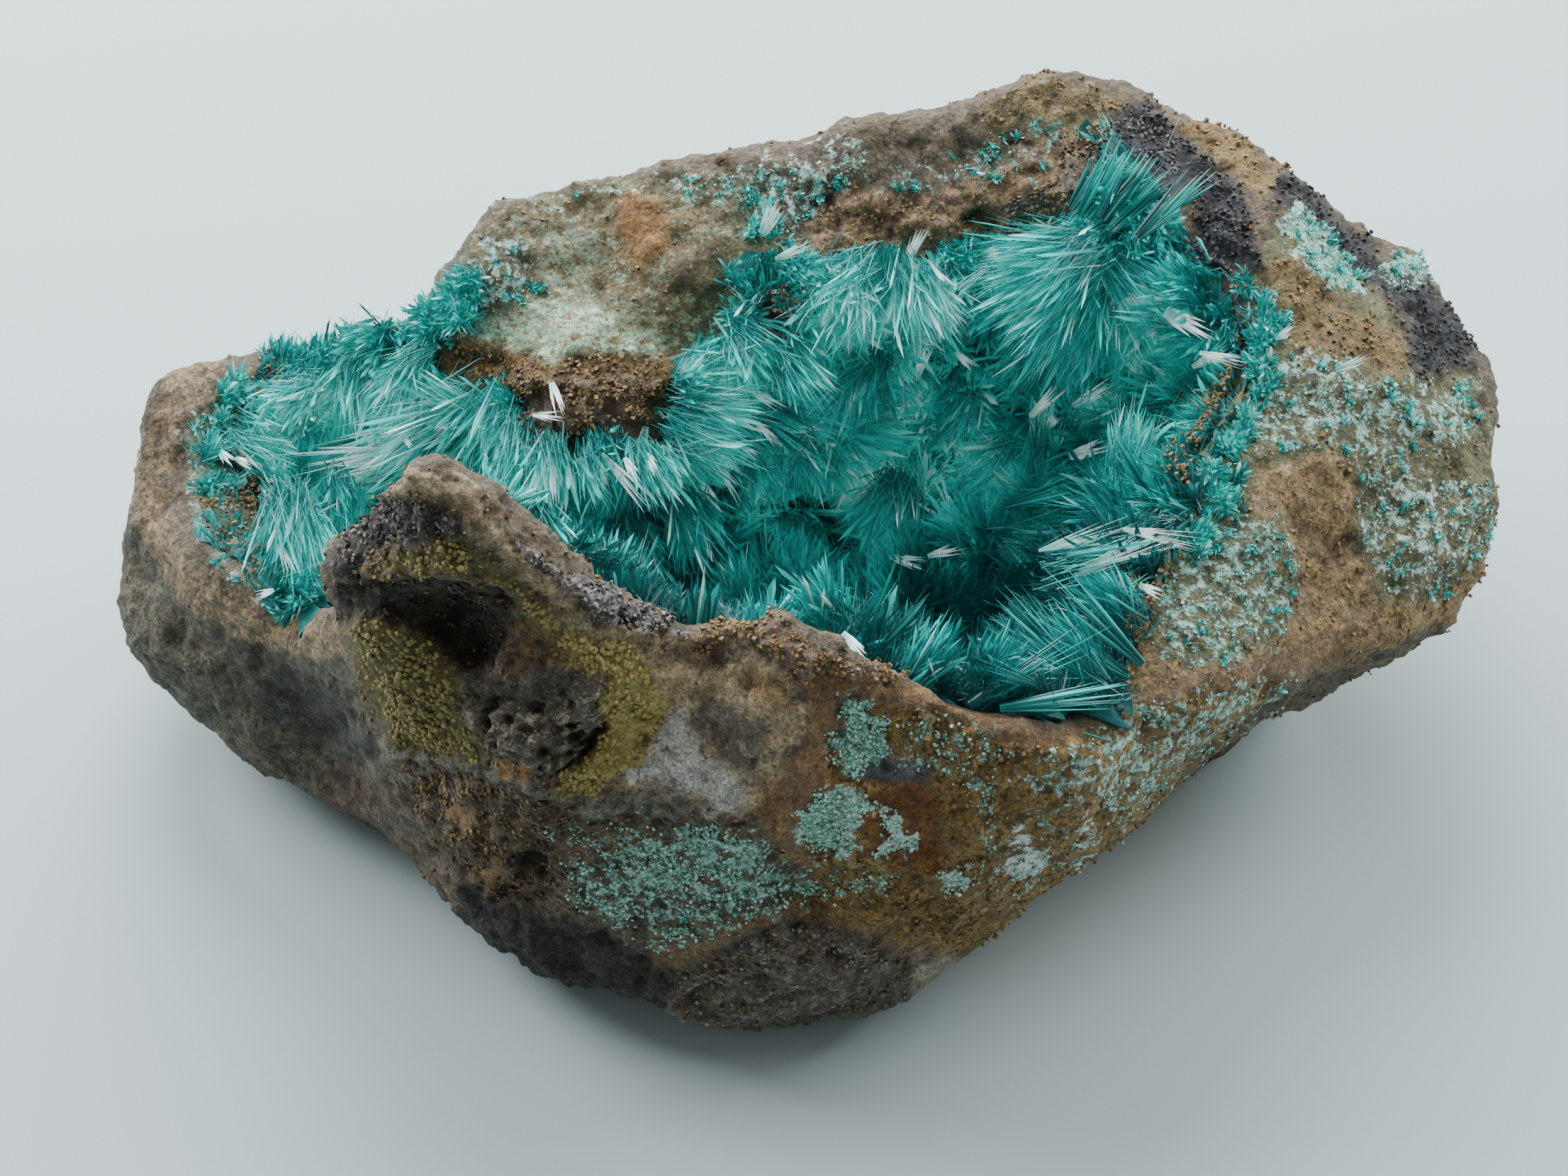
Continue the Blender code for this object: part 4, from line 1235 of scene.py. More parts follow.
def grainyAt(points):
    # share of rock grains at each point of the crust, and their two colours
    share = np.zeros(len(points))
    colors = np.zeros((len(points), 2, 3))
    places = drawnPlaces(points)
    wave = noiseField(points, 0.8, 2.0) * 14.0
    for outline, most, *tints in grainyPlaces.values():
        here = most * smoothStep(-8.0, 8.0, insideDepth(places, outline) + wave)
        colors[here > share] = tints
        share = np.maximum(share, here)
    return share, colors


def grainOdds(odds, share, places):
    # the odds of grains at each place, in clumps where the grains' share is low
    clumps = noiseField(places, 0.9, 6.0) * 1.2 * (share < 0.9)
    return np.clip(odds + clumps, 0.0, 1.0) * (share > 0.05)


def keptFibres(fibres, chance):
    # leaves out the fibres that stand where the crust is covered with grains
    start, direction, length = fibres[:3]
    share = np.maximum(grainyAt(start)[0], grainyAt(start + direction * length[:, None])[0] * 0.9)
    keep = chance.random(len(share)) > grainOdds(share * 1.3, share, start)
    return [values[keep] for values in fibres]


def addFibres(name, fibres, template, widths, shade, material, chance):
    start, direction, length, tone = keptFibres(fibres, chance)
    count = len(start)
    tone = toneAt(start + direction * length[:, None]) + tone + shade + chance.normal(0.0, 0.08, count)
    thick = chance.uniform(*widths, count)
    joinCopies(name, template, start, framesAlong(direction, chance), np.column_stack([thick, thick, length]),
               np.clip(tone, 0.02, 0.98), material)


bedLook = {
    "height": 0.38,       # share of the solid crust's height that the bed keeps
    "sunk": 0.32,         # millimetres, as the next ones
    "lumpSize": 0.5,
    "lumpHeight": 0.25,
    "grainsSunk": 0.35,   # how much lower the bed lies under grains
    "feltColor": (0.002, 0.15, 0.14, 1),
}


def makeBedMaterial():
    material, tree, shader = newMaterial("felted crystal bed")
    place = tree.nodes.new("ShaderNodeTexCoord").outputs["Object"]
    felt = useGroup(tree, mottleGroup, place, Color=bedLook["feltColor"], Amount=0.6,
                    Blotch_Size=0.002, Grain_Size=0.0002)
    first = useGroup(tree, mottleGroup, place, Color=attribute(tree, "coat", "Color"), Amount=0.9,
                     Blotch_Size=0.0009, Grain_Size=0.0002)
    second = useGroup(tree, mottleGroup, place, Color=attribute(tree, "coatTwo", "Color"), Amount=0.9,
                      Blotch_Size=0.0009, Grain_Size=0.0002)
    spots = useGroup(tree, patchGroup, place, Cover=0.45, Size=0.0005, Edge=0.2)
    rocky = useGroup(tree, patchGroup, place, Cover=attribute(tree, "rocky"), Size=0.0009, Edge=0.15)
    color = mixColor(tree, rocky, felt, mixColor(tree, spots, first, second))
    tree.links.new(color, shader.inputs["Base Color"])
    shader.inputs["Roughness"].default_value = 0.6
    return material


def buildCrystalBed(rockTree):
    # the solid crust's own facets, lowered and roughened, as the felted heart of the sprays
    bm = cadMesh("aurichalcite_crust")
    for vert in bm.verts:
        nearest, normal = rockTree.find_nearest(vert.co)[:2]
        vert.co = nearest + (vert.co - nearest) * bedLook["height"] - normal * bedLook["sunk"]
    bmesh.ops.subdivide_edges(bm, edges=bm.edges, cuts=2, use_grid_fill=True)
    for vert in bm.verts:
        vert.co += vert.normal * noise.noise(vert.co / bedLook["lumpSize"]) * bedLook["lumpHeight"]
    points, normals = vertArrays(bm)
    share, colors = grainyAt(points)
    lowered = points - normals * (share * bedLook["grainsSunk"])[:, None]
    for vert, place in zip(bm.verts, lowered.tolist()):
        vert.co = place
    bed = newPiece("crystalBed", bm, makeBedMaterial())
    setAttribute(bed.data, "rocky", share * 1.1)
    setAttribute(bed.data, "coat", colors[:, 0])
    setAttribute(bed.data, "coatTwo", colors[:, 1])
    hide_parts("aurichalcite_crust")
    print("crystal bed:", len(bed.data.polygons), "faces")


def solidTree(nodeName):
    solid = cadMesh(nodeName)
    tree = BVHTree.FromBMesh(solid)
    solid.free()
    return tree


rockTree = solidTree("matrix")
crustTree = solidTree("aurichalcite_crust")
solidCrystals = solidCrystalData(rockTree)
print("crystals of the solid crust:", len(solidCrystals[0]))
fibreMaterial = makeFibreMaterial("aurichalcite fibres", rootTeal, tipTeal, (0.05, 0.9), 0.36,
                                  crystalLook["glow"])
needle = needleTemplate()
lath = lathTemplate(0.35)
chance = np.random.default_rng(4)
buildCrystalBed(rockTree)
sprays = plantSprays(chance)
addFibres("sprayFibres", fibresFrom(sprays, crystalLook["sprayFibres"], (0.7, 1.08), chance), needle,
          crystalLook["fibreWidth"], 0.02, fibreMaterial, chance)
addFibres("lawnFibres", fibresOfLawn(crystalLook["lawnFibres"], (0.6, 1.1), chance), needle,
          crystalLook["fibreWidth"], -0.08, fibreMaterial, chance)
addFibres("laths", fibresFrom(sprays, crystalLook["laths"] // 2, (0.7, 1.1), chance), lath,
          crystalLook["lathWidth"], 0.08, fibreMaterial, chance)
addFibres("lathsLow", fibresOfLawn(crystalLook["laths"] // 2, (0.7, 1.2), chance), lath,
          crystalLook["lathWidth"], 0.0, fibreMaterial, chance)


# Broad fans, drawn on the board: foot x, y, middle of the far edge x, y, half the angle, tone

drawnFans = [
    (610, 505, 530, 580, 0.5, 0.74), (560, 535, 440, 592, 0.3, 0.85), (590, 520, 470, 560, 0.3, 0.78),
    (640, 510, 590, 600, 0.4, 0.66), (660, 540, 640, 625, 0.4, 0.62), (700, 565, 700, 655, 0.45, 0.62),
    (760, 560, 782, 645, 0.4, 0.64), (820, 575, 862, 650, 0.4, 0.62), (860, 545, 960, 600, 0.45, 0.74),
    (880, 512, 985, 520, 0.4, 0.78), (890, 470, 985, 448, 0.4, 0.68), (940, 420, 1005, 485, 0.5, 0.6),
    (380, 490, 330, 560, 0.6, 0.7), (450, 475, 425, 565, 0.6, 0.62), (520, 470, 475, 560, 0.6, 0.66),
    (300, 560, 372, 596, 0.5, 0.72), (500, 590, 400, 596, 0.3, 0.86), (430, 612, 400, 690, 0.6, 0.5),
    (370, 640, 372, 760, 0.5, 0.62), (410, 715, 400, 792, 0.5, 0.62), (690, 650, 705, 712, 0.6, 0.36),
    (720, 650, 760, 735, 0.6, 0.34), (800, 670, 832, 752, 0.6, 0.34), (870, 640, 902, 735, 0.5, 0.42),
    (1110, 345, 1015, 430, 0.6, 0.72), (1090, 350, 1080, 450, 0.6, 0.7), (1160, 345, 1190, 440, 0.5, 0.74),
    (1180, 360, 1228, 440, 0.4, 0.8), (1385, 325, 1235, 372, 0.45, 0.56), (1390, 350, 1285, 465, 0.45, 0.5),
    (1400, 370, 1365, 500, 0.4, 0.46), (1420, 340, 1500, 420, 0.4, 0.58), (1380, 320, 1290, 322, 0.4, 0.6),
    (1100, 460, 1055, 560, 0.5, 0.46), (1000, 445, 1058, 520, 0.35, 0.62), (1010, 560, 1040, 640, 0.6, 0.5),
    (1240, 500, 1180, 560, 0.6, 0.44), (1290, 560, 1210, 600, 0.5, 0.62), (1150, 620, 1100, 700, 0.6, 0.46),
    (1330, 640, 1450, 600, 0.3, 0.66), (1320, 690, 1520, 684, 0.18, 0.68), (1360, 726, 1500, 692, 0.16, 0.74),
    (1300, 680, 1400, 715, 0.35, 0.66), (1440, 600, 1452, 505, 0.35, 0.66), (1330, 555, 1325, 495, 0.3, 0.8),
    (1390, 545, 1425, 488, 0.35, 0.84), (1470, 480, 1440, 440, 0.4, 0.74), (1500, 400, 1420, 392, 0.3, 0.72),
    (1250, 880, 1310, 800, 0.5, 0.3), (1290, 800, 1400, 862, 0.25, 0.42), (1260, 872, 1410, 905, 0.2, 0.24),
    (1400, 870, 1330, 780, 0.4, 0.3), (1170, 860, 1215, 790, 0.5, 0.42), (1060, 790, 1020, 720, 0.6, 0.42),
    (950, 770, 930, 700, 0.6, 0.44), (1440, 780, 1380, 720, 0.5, 0.44), (1350, 300, 1400, 270, 0.5, 0.6)]


def drawnSpan(footX, footY, tipX, tipY):
    # foot and tip in space of something drawn on the board, a little in front of the surface
    back = viewAxes()[3]
    foot, toEye = boardHit(footX, footY)
    tip, tipToEye = boardHit(tipX, tipY)
    nearer = tip @ back - 1.5
    depth = foot @ back + bladeLook["lift"] + max(0.0, nearer - foot @ back) * (nearer - foot @ back < 3.0)
    foot = foot + toEye * ((depth - foot @ back) / (toEye @ back))
    tip = tip + tipToEye * ((depth + bladeLook["tipLift"] - tip @ back) / (tipToEye @ back))
    return foot, tip


def plantFans(chance):
    # the drawn fans, as sprays that lie flat to the eye, each with a shorter, looser one beside it
    back = viewAxes()[3]
    spans = np.array([drawnSpan(*fan[:4]) for fan in drawnFans])
    looks = np.array([fan[4:] for fan in drawnFans])
    reach = spans[:, 1] - spans[:, 0]
    length = np.linalg.norm(reach, axis=1)
    size = reach.shape
    places = [spans[:, 0] - back * 0.5, spans[:, 0] - back * 0.3 + chance.normal(size=size) * 0.7]
    ways = [reach, reach + chance.normal(size=size) * 0.3 * length[:, None]]
    frames = np.concatenate([framesAlong(way, chance, back + chance.normal(size=3) * 0.2) for way in ways])
    return {"place": np.concatenate(places), "frame": frames,
            "length": np.concatenate([length, length * 0.75]),
            "opening": np.tile(looks[:, 0] * 1.1, 2), "flat": np.full(2 * len(reach), 0.6),
            "tone": np.concatenate([looks[:, 1] + 0.02, looks[:, 1] - 0.04])}


setLook = {"lengths": (0.45, 1.1), "fibreWidth": (0.022, 0.045), "lathWidth": (0.04, 0.12)}


def growSet(name, sprays, counts, spread, material, chance):
    # needles and laths of a set of sprays whose tone is their own
    for kind, template, count, widths in ((name + "Fibres", needle, counts[0], setLook["fibreWidth"]),
                                          (name + "Laths", lath, counts[1], setLook["lathWidth"])):
        start, direction, length, tone = fibresFrom(sprays, count, setLook["lengths"], chance)
        thick = chance.uniform(*widths, count)
        tone = np.clip(tone + chance.normal(0.0, spread, count), 0.02, 0.98)
        # painted highlights: a share of laths turns near white
        if template is lath:
            tone = np.where(chance.random(count) < crystalLook["glints"], 0.97, tone)
        joinCopies(kind, template, start, framesAlong(direction, chance),
                   np.column_stack([thick, thick, length]), tone, material)


# Single blades painted near white and glowing, as painted highlights where blades catch the light: foot x, y,
# tip x, y and width, drawn on the board

glintBlades = [
    (702, 580, 700, 641, 21), (692, 588, 668, 636, 14), (776, 588, 819, 634, 12),
    (763, 588, 770, 622, 8), (800, 588, 814, 612, 8), (828, 582, 836, 602, 8),
    (500, 551, 440, 572, 14), (478, 577, 370, 591, 12), (488, 590, 428, 597, 9),
    (470, 600, 446, 610, 10), (436, 688, 384, 693, 15), (428, 706, 384, 699, 10),
    (359, 700, 369, 730, 13), (396, 490, 346, 492, 10), (346, 754, 330, 760, 9),
    (284, 578, 296, 590, 14), (304, 586, 320, 594, 12), (514, 552, 524, 566, 13),
    (976, 292, 992, 260, 20), (996, 328, 1032, 314, 10), (1158, 332, 1176, 298, 14),
    (1164, 350, 1170, 334, 8), (1254, 324, 1278, 321, 15), (1172, 474, 1182, 444, 17),
    (1222, 452, 1240, 468, 10), (1338, 544, 1347, 532, 12), (1244, 582, 1266, 562, 24),
    (1438, 386, 1484, 381, 17), (1402, 384, 1482, 398, 13), (1496, 402, 1544, 430, 24),
    (1440, 462, 1482, 488, 20), (1528, 464, 1564, 444, 12), (1538, 452, 1578, 462, 10),
    (1376, 514, 1412, 494, 15), (1382, 534, 1418, 504, 16), (1320, 526, 1348, 498, 14),
    (1372, 580, 1412, 568, 20), (1388, 727, 1474, 688, 12), (1416, 717, 1496, 690, 9),
    (1346, 697, 1452, 668, 8), (1446, 678, 1524, 692, 8), (1458, 748, 1478, 757, 12),
    (894, 612, 908, 640, 13), (920, 600, 946, 636, 9), (958, 498, 992, 518, 10),
    (944, 568, 966, 582, 8), (968, 542, 988, 562, 9), (1080, 812, 1104, 838, 13),
    (1066, 826, 1090, 834, 8), (1630, 430, 1648, 420, 10), (1710, 470, 1740, 458, 12),
    (1190, 708, 1224, 700, 12), (1142, 712, 1180, 722, 12), (600, 505, 618, 536, 8),
    (622, 518, 640, 545, 9), (706, 494, 716, 526, 16), (685, 530, 712, 532, 9),
    (862, 548, 872, 560, 9), (868, 472, 884, 484, 9)]

# Wide clear blades of the crust, drawn in the same way
clearBlades = [
    (1462, 292, 1520, 234, 25), (1500, 262, 1542, 228, 18), (1404, 306, 1452, 262, 16),
    (1372, 300, 1408, 268, 14), (1384, 262, 1420, 196, 26), (1398, 266, 1436, 202, 26),
    (1414, 268, 1454, 208, 26), (1430, 268, 1472, 218, 26), (1444, 266, 1490, 232, 24),
    (1372, 256, 1404, 206, 20), (1390, 244, 1426, 190, 18), (1422, 250, 1462, 206, 20),
    (888, 792, 893, 738, 30), (903, 790, 908, 748, 22), (1262, 884, 1392, 812, 16),
    (1270, 872, 1364, 880, 18), (1300, 900, 1424, 884, 20), (1340, 912, 1420, 858, 18),
    (1380, 860, 1300, 770, 22), (1420, 850, 1330, 790, 24), (1440, 830, 1352, 742, 20),
    (1350, 850, 1262, 800, 20), (1310, 868, 1250, 842, 16), (1400, 780, 1468, 742, 16),
    (1350, 718, 1466, 700, 22), (1336, 700, 1440, 682, 20), (1360, 668, 1480, 640, 18),
    (1380, 640, 1520, 620, 16), (1400, 545, 1446, 502, 30), (1430, 600, 1444, 520, 26),
    (1460, 620, 1426, 560, 20), (1300, 640, 1400, 610, 18), (570, 540, 520, 610, 22),
    (592, 545, 548, 600, 20), (610, 548, 590, 604, 20), (560, 530, 498, 580, 20),
    (470, 560, 400, 580, 20), (500, 575, 440, 604, 22), (560, 560, 528, 596, 18),
    (430, 640, 380, 660, 16), (420, 720, 370, 740, 18), (920, 560, 880, 640, 18),
    (950, 550, 990, 610, 18), (980, 540, 1040, 590, 18), (1000, 520, 1070, 548, 18),
    (880, 540, 840, 610, 16), (820, 560, 800, 640, 14), (1330, 330, 1260, 380, 20),
    (1360, 330, 1330, 420, 22), (1400, 330, 1440, 400, 20), (1440, 330, 1510, 380, 20),
    (1250, 350, 1190, 400, 20)]

bladeLook = {
    "lift": 0.7, "tipLift": 0.9,     # how far foot and tip stand off the surface, in millimetres
    "strands": 12,                   # laths in a blade
    "splay": 0.22,
    "halfWidth": 0.02,               # millimetres for each board unit of width
    "reach": (0.5, 1.35),            # lengths of the laths, in lengths of the blade
    "root": 0.2,                     # and how much further back they start
    "strandWidth": (0.12, 0.3),      # in half widths of the blade
    "toneSpread": 0.22,
    "shoulder": 0.4,                 # where a lath starts to narrow
}


def boardHit(x, y):
    # the crust behind a place on the board, or else the rock, and the direction from it to the eye
    eye, right, up, back = viewAxes()
    width, height = frontView["board"]
    scale = frontView["lens"] / frontView["filmWidth"] * width
    ray = Vector(right * (x - width / 2) / scale + up * (height / 2 - y) / scale - back).normalized()
    hits = [tree.ray_cast(Vector(eye), ray)[0] for tree in (crustTree, rockTree)]
    return np.array(hits[0] or hits[1]), -np.array(ray)


def addDrawnBlades(name, blades, thickness, material, tones, chance):
    # each blade is a bundle of thin laths side by side
    back = viewAxes()[3]
    count = bladeLook["strands"]
    starts, directions, sizes, shades = [], [], [], []
    for footX, footY, tipX, tipY, width in blades:
        foot, tip = drawnSpan(footX, footY, tipX, tipY)
        along = tip - foot
        across = np.cross(back, along)
        across /= np.linalg.norm(across)
        half = width * bladeLook["halfWidth"]
        shade = chance.uniform(*tones)
        for side in np.linspace(-0.6, 0.6, count) + chance.normal(0.0, 0.12, count):
            spread = across * side * bladeLook["splay"] * np.linalg.norm(along)
            reach = along * (chance.uniform(*bladeLook["reach"]) + bladeLook["root"]) + spread
            offset = across * side * half * 0.6 + back * chance.normal(0.0, 0.08)
            starts.append(foot - along * bladeLook["root"] + offset)
            directions.append(reach)
            narrow = half * chance.uniform(*bladeLook["strandWidth"])
            sizes.append((narrow, narrow, np.linalg.norm(reach)))
            shades.append(shade + chance.normal(0.0, bladeLook["toneSpread"]))
    directions = np.array(directions)
    frames = framesAlong(directions, chance, back + chance.normal(size=3) * 0.2)
    strand = lathTemplate(thickness, bladeLook["shoulder"])
    joinCopies(name, strand, np.array(starts), frames, np.array(sizes), np.clip(shades, 0.02, 0.98),
               material)


# painted highlights: ramps that run to near white, and a glow
glintBladeMaterial = makeFibreMaterial(
    "painted glint blades", [(0.0, (0.08, 0.4, 0.37)), (1.0, (0.5, 0.75, 0.72))],
    [(0.0, (0.3, 0.7, 0.66)), (0.4, (0.8, 0.92, 0.91)), (1.0, (0.97, 1.0, 1.0))], (0.1, 0.5), 0.25, 0.22)
addDrawnBlades("glintBlades", glintBlades, 0.3, glintBladeMaterial, (0.3, 0.8), chance)
addDrawnBlades("clearBlades", clearBlades, 0.4, fibreMaterial, (0.3, 0.55), chance)
growSet("fan", plantFans(chance), crystalLook["fans"], 0.14, fibreMaterial, chance)


# Short sprays that cling to the rock outside the hollow: outline, number, length, tone

clingingSprays = {
    "wallTop": ([(880, 470), (930, 430), (940, 370), (990, 330), (1040, 345), (1060, 400), (1050, 500),
                 (970, 620), (900, 640), (860, 590), (890, 540)], 60, 1.9, 0.62),
    "leftSaddle": ([(500, 430), (560, 385), (610, 330), (600, 400), (540, 460), (530, 500), (480, 520),
                    (440, 470)], 26, 1.5, 0.6),
    "leftEdge": ([(290, 480), (340, 500), (330, 560), (300, 640), (300, 720), (280, 700), (250, 620),
                  (250, 540)], 16, 1.2, 0.66),
    "leftBack": ([(330, 470), (400, 430), (470, 435), (440, 480), (350, 500)], 14, 1.5, 0.55),
    "islandFoot": ([(560, 510), (650, 510), (680, 570), (760, 580), (860, 600), (820, 620), (600, 600),
                    (540, 560)], 30, 1.8, 0.62),
    "backRim": ([(960, 250), (1000, 290), (1040, 340), (990, 330), (950, 300)], 8, 1.2, 0.66),
    "rimUnder": ([(1040, 345), (1150, 335), (1260, 305), (1360, 300), (1400, 320), (1280, 350), (1150, 365),
                  (1060, 380)], 34, 1.7, 0.5),
    "rightEdge": ([(1575, 330), (1640, 400), (1620, 500), (1580, 600), (1560, 700), (1510, 720), (1500, 600),
                   (1530, 500), (1570, 440)], 110, 1.0, 0.6),
    "frontEdge": ([(1400, 800), (1450, 760), (1450, 850), (1400, 900)], 12, 1.3, 0.45)}


# Tiny tufts on the blue-green covers of the rock: number, length, tone
tuftedCovers = {
    "tealMid": (80, 0.5, 0.7), "tealRight": (60, 0.45, 0.72), "tealLow": (70, 0.5, 0.64),
    "tealPatch": (22, 0.8, 0.72), "tealSpur": (6, 0.6, 0.66), "tealEdge": (12, 0.6, 0.72),
    "tealBack": (50, 0.5, 0.66), "tealBackTwo": (24, 0.6, 0.66), "tealLeftSlope": (34, 0.6, 0.62),
    "tealWest": (30, 0.5, 0.68), "tealFlankWide": (60, 0.35, 0.7), "tealApron": (60, 0.28, 0.7),
    "tealOne": (16, 0.26, 0.66), "tealTwo": (16, 0.26, 0.74), "paleStar": (6, 0.3, 0.9),
    "tealFrontMix": (20, 0.25, 0.66)}


def clingOn(outline, count, length, tone, chance):
    # feet on the rock inside the outline, as a set of sprays; the bare spike stands over some outlines
    places = drawnPlaces(rockPoints)
    inside = (insideDepth(places, outline) > 0) & rockSeen & (rockCovered < 1.0)
    inside &= rockPoints[:, 2] < crystalLook["highest"]
    choices = np.nonzero(inside)[0]
    if len(choices) == 0:
        return None
    pick = chance.choice(choices, size=count)
    axis = unit(rockNormals[pick] + chance.normal(size=(count, 3)) * 0.45)
    return {"place": rockPoints[pick] - axis * 0.1, "frame": framesAlong(axis, chance),
            "length": length * chance.uniform(0.7, 1.3, count), "opening": chance.uniform(0.8, 1.35, count),
            "flat": np.where(chance.random(count) < 0.5, 0.4, 1.0), "tone": chance.normal(tone, 0.1, count)}


def clingingSets(chance):
    sets = [clingOn(*look, chance) for look in clingingSprays.values()]
    sets += [clingOn(tealCover[name][2], *look, chance) for name, look in tuftedCovers.items()]
    return {key: np.concatenate([found[key] for found in sets if found]) for key in sets[0]}


growSet("clinging", clingingSets(chance), crystalLook["clinging"], 0.12, fibreMaterial, chance)


# Crumbs of rock on the rough zones

crumbLook = {
    "count": 10500, "radius": (0.07, 0.18),    # of the rock's crumbs, in millimetres
    "scatter": 0.1, "lean": 0.5,               # how far and how much they stray and lean
    "squeeze": (0.6, 1.0),                     # shares of the radius that each axis keeps
    "sink": 0.03, "beadSink": 0.08,            # millimetres into the surface
    "lowest": 3.0,                             # crumbs lie above this height
    "tries": 36000,                            # places on the crust that may take a crumb
    "tealGrains": 7600, "tealRadius": (0.05, 0.13),
    "beads": 2000, "beadRadius": (0.13, 0.21),
}


def makeCrumbMaterial():
    # ochre, brown, dark or grey by the tone of each crumb
    return makeFibreMaterial(
        "rock crumbs",
        [(0.0, (0.03, 0.028, 0.033)), (0.16, (0.035, 0.027, 0.02)), (0.36, (0.07, 0.048, 0.028)),
         (0.62, (0.19, 0.115, 0.04)), (0.84, (0.06, 0.055, 0.05)), (1.0, (0.14, 0.13, 0.11))],
        [(0.0, (0.045, 0.047, 0.056)), (0.16, (0.07, 0.052, 0.038)), (0.36, (0.13, 0.09, 0.05)),
         (0.62, (0.30, 0.19, 0.07)), (0.84, (0.12, 0.11, 0.1)), (1.0, (0.28, 0.265, 0.23))],
        (0.1, 0.9), 0.75)


def crumbTone(first, second, chance):
    # the tone that stands for a colour of the rock, taken at random from its two
    color = np.where(chance.random(len(first))[:, None] < 0.4, second, first)
    bright = color.mean(axis=1)
    warm = color[:, 0] / (color[:, 2] + 1e-4)
    warmTone = np.interp(bright, (0.03, 0.07, 0.15), (0.16, 0.36, 0.62))
    greyTone = np.where(bright < 0.08, np.interp(bright, (0.02, 0.08), (0.0, 0.1)),
                        np.interp(bright, (0.08, 0.2), (0.86, 1.0)))
    tone = np.where(warm > 1.55, warmTone, greyTone)
    return np.clip(tone + chance.normal(0.0, 0.03, len(first)), 0.02, 0.98)


def scatterCrumbs(name, places, normals, tone, radii, material, chance, template,
                  sink=crumbLook["sink"]):
    spread = chance.normal(size=places.shape) * crumbLook["scatter"]
    radius = chance.uniform(*radii, len(places))
    frames = framesAlong(normals + chance.normal(size=places.shape) * crumbLook["lean"], chance)
    squeeze = chance.uniform(*crumbLook["squeeze"], places.shape)
    return joinCopies(name, template, places + spread - normals * sink, frames,
                      radius[:, None] * squeeze, tone, material)


def crumbsOnRock(chance):
    weight = rockCoat["grains"] ** 1.5 * (rockCovered < 0.2) * (rockCoat["cover"] < 0.5)
    weight = weight * (rockPoints[:, 2] > crumbLook["lowest"])
    pick = chance.choice(len(weight), size=crumbLook["count"], p=weight / weight.sum())
    tone = crumbTone(rockCoat["coat"][pick], rockCoat["coatTwo"][pick], chance)
    scatterCrumbs("crumbs", rockPoints[pick], rockNormals[pick], tone, crumbLook["radius"],
                  crumbMaterial, chance, crumbTemplate())


def crumbsOnCrust(chance):
    # grains over the crust, standing as high as its bed
    places = placesOnCrust(crumbLook["tries"], chance)
    share, colors = grainyAt(places)
    chosen = chance.random(len(share)) < grainOdds(share, share, places)
    places, colors = places[chosen], colors[chosen]
    growth, length = growthAt(places)
    raised = places + growth * (length * 0.45)[:, None]
    tone = crumbTone(colors[:, 0], colors[:, 1], chance)
    scatterCrumbs("crustCrumbs", raised, growth, tone, crumbLook["radius"], crumbMaterial, chance,
                  crumbTemplate())


def grainsOfTeal(chance):
    # the blue-green covers' own grains, packed where the cover is thick
    weight = rockCoat["cover"] ** 2 * (rockCoat["cover"] > 0.3) * rockSeen * (rockCovered < 0.5)
    clumped = smoothStep(-0.15, 0.15, noiseField(rockPoints, 0.6, 8.0)) + 0.1
    weight = weight * np.where(rockCoat["cover"] > 0.8, 1.0, clumped)
    pick = chance.choice(len(weight), size=crumbLook["tealGrains"], p=weight / weight.sum())
    tone = np.clip(chance.normal(0.45, 0.2, len(pick)) + 0.25 * rockCoat["pale"][pick], 0.02, 0.98)
    scatterCrumbs("tealGrains", rockPoints[pick], rockNormals[pick], tone, crumbLook["tealRadius"],
                  tealGrainMaterial, chance, crumbTemplate())


def beadsOfOlive(chance):
    # the olive skin's round beads
    weight = (rockCoat["olive"] > 0.75) & rockSeen & (rockCovered < 0.1)
    pick = chance.choice(np.nonzero(weight)[0], size=crumbLook["beads"])
    tone = np.clip(chance.normal(0.3, 0.1, len(pick)) + 0.4 * rockCoat["pale"][pick], 0.02, 0.98)
    beads = scatterCrumbs("oliveBeads", rockPoints[pick], rockNormals[pick], tone, crumbLook["beadRadius"],
                          beadMaterial, chance, beadTemplate(), crumbLook["beadSink"])
    beads.data.shade_smooth()


crumbMaterial = makeCrumbMaterial()
tealGrainMaterial = makeFibreMaterial(
    "blue-green grains", [(0.0, (0.1, 0.22, 0.16)), (0.5, (0.16, 0.42, 0.34)), (1.0, (0.4, 0.66, 0.58))],
    [(0.0, (0.22, 0.4, 0.29)), (0.5, (0.38, 0.73, 0.6)), (1.0, (0.84, 0.97, 0.92))], (0.1, 0.8), 0.5)
beadMaterial = makeFibreMaterial(
    "olive beads", [(0.0, (0.1, 0.085, 0.025)), (1.0, (0.26, 0.22, 0.07))],
    [(0.0, (0.15, 0.125, 0.036)), (1.0, (0.56, 0.46, 0.17))], (0.1, 0.75), 0.7)
crumbsOnRock(chance)
crumbsOnCrust(chance)
grainsOfTeal(chance)
beadsOfOlive(chance)


# Floor, light and camera

studioLook = {
    "floorColor": (0.54, 0.648, 0.66),
    "floorReach": 3000,      # millimetres, as the places and sizes of the lights
    "floorDrop": -0.05,
    "skyLow": (0.60, 0.60, 0.57),
    "skyHigh": (0.93, 1.0, 1.02),
    "skyStrength": 0.305,
    "window": {"place": (-20, 175, 160), "size": 190, "power": 1.02, "color": (0.96, 1.0, 1.02)},
    "windowLeft": {"place": (-200, 100, 150), "size": 140, "power": 0.8, "color": (0.96, 1.0, 1.02)},
    "windowRight": {"place": (200, 100, 150), "size": 140, "power": 0.6, "color": (0.96, 1.0, 1.0)},
    "overhead": {"place": (30, 40, 330), "size": 240, "power": 0.22, "color": (0.97, 1.0, 1.0)},
}


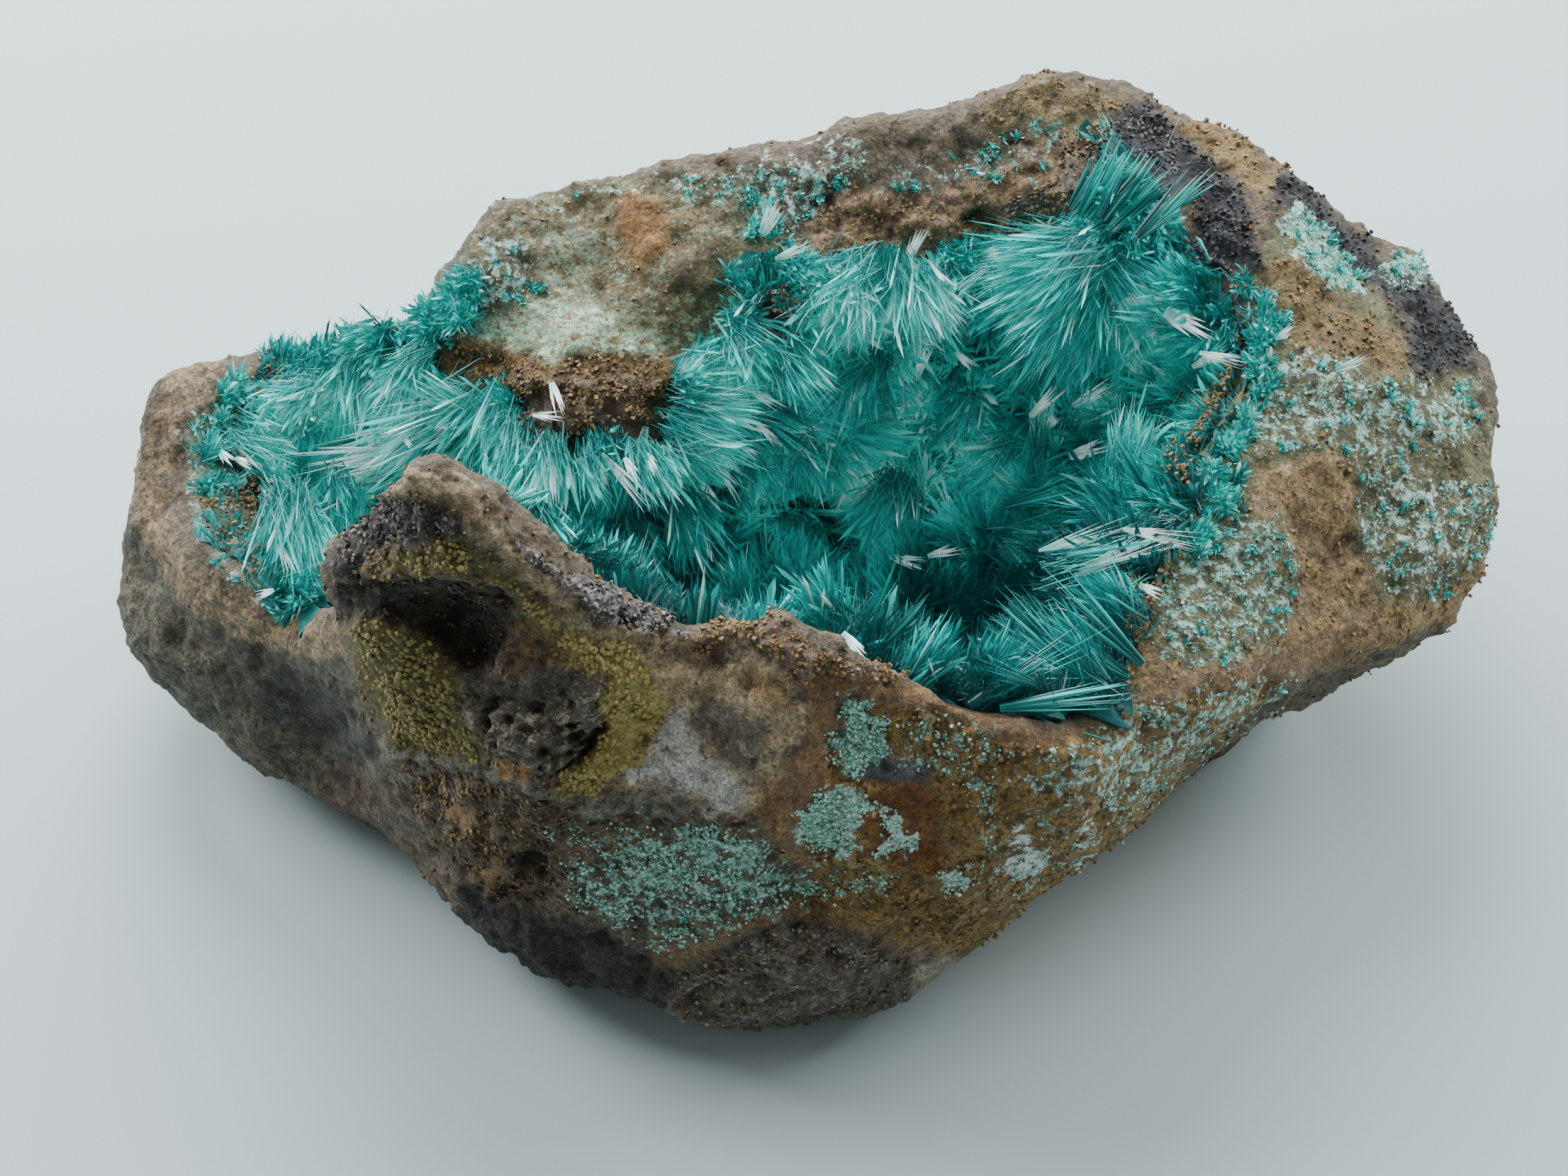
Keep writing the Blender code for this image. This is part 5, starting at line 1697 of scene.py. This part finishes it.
def buildFloor():
    bm = bmesh.new()
    bmesh.ops.create_grid(bm, x_segments=1, y_segments=1, size=studioLook["floorReach"])
    bmesh.ops.translate(bm, verts=bm.verts, vec=(0, 0, studioLook["floorDrop"]))
    bmesh.ops.scale(bm, vec=(mm, mm, mm), verts=bm.verts)
    mesh = bpy.data.meshes.new("floor")
    bm.to_mesh(mesh)
    bm.free()
    floor = bpy.data.objects.new("floor", mesh)
    bpy.context.scene.collection.objects.link(floor)
    material, _, shader = newMaterial("pale backdrop")
    shader.inputs["Base Color"].default_value = (*studioLook["floorColor"], 1.0)
    shader.inputs["Roughness"].default_value = 0.9
    mesh.materials.append(material)


def addSoftLight(name):
    look = studioLook[name]
    lamp = bpy.data.lights.new(name, "AREA")
    lamp.shape = "DISK"
    lamp.size = look["size"] * mm
    lamp.energy = look["power"]
    lamp.color = look["color"]
    light = bpy.data.objects.new(name, lamp)
    light.location = Vector(look["place"]) * mm
    aim = Vector((0, 0, 10)) * mm
    light.rotation_euler = (aim - light.location).to_track_quat("-Z", "Y").to_euler()
    bpy.context.scene.collection.objects.link(light)


def buildSky():
    # soft light all round, weaker from the front and from below
    world = bpy.data.worlds.new("soft room")
    bpy.context.scene.world = world
    world.use_nodes = True
    tree = world.node_tree
    direction = tree.nodes.new("ShaderNodeTexCoord").outputs["Generated"]
    split = tree.nodes.new("ShaderNodeSeparateXYZ")
    tree.links.new(direction, split.inputs[0])
    lift = mathNode(tree, "ADD", split.outputs["Z"], mathNode(tree, "MULTIPLY", split.outputs["Y"], 0.7))
    color = rampNode(tree, stretched(tree, lift, -0.9, 1.1), [
        (0.0, studioLook["skyLow"]), (1.0, studioLook["skyHigh"])])
    sky = tree.nodes["Background"]
    tree.links.new(color, sky.inputs["Color"])
    sky.inputs["Strength"].default_value = studioLook["skyStrength"]


def buildCamera():
    camera = bpy.data.objects.new("camera", bpy.data.cameras.new("camera"))
    bpy.context.scene.collection.objects.link(camera)
    eye, _, _, back = viewAxes()
    camera.location = Vector(eye) * mm
    camera.rotation_euler = Vector(-back).to_track_quat("-Z", "Y").to_euler()
    camera.data.lens = frontView["lens"]
    camera.data.sensor_width = frontView["filmWidth"]
    camera.data.clip_start = 0.005
    camera.data.clip_end = 20.0
    bpy.context.scene.camera = camera


buildFloor()
addSoftLight("window")
addSoftLight("windowLeft")
addSoftLight("windowRight")
addSoftLight("overhead")
buildSky()
buildCamera()
print("studio ready")
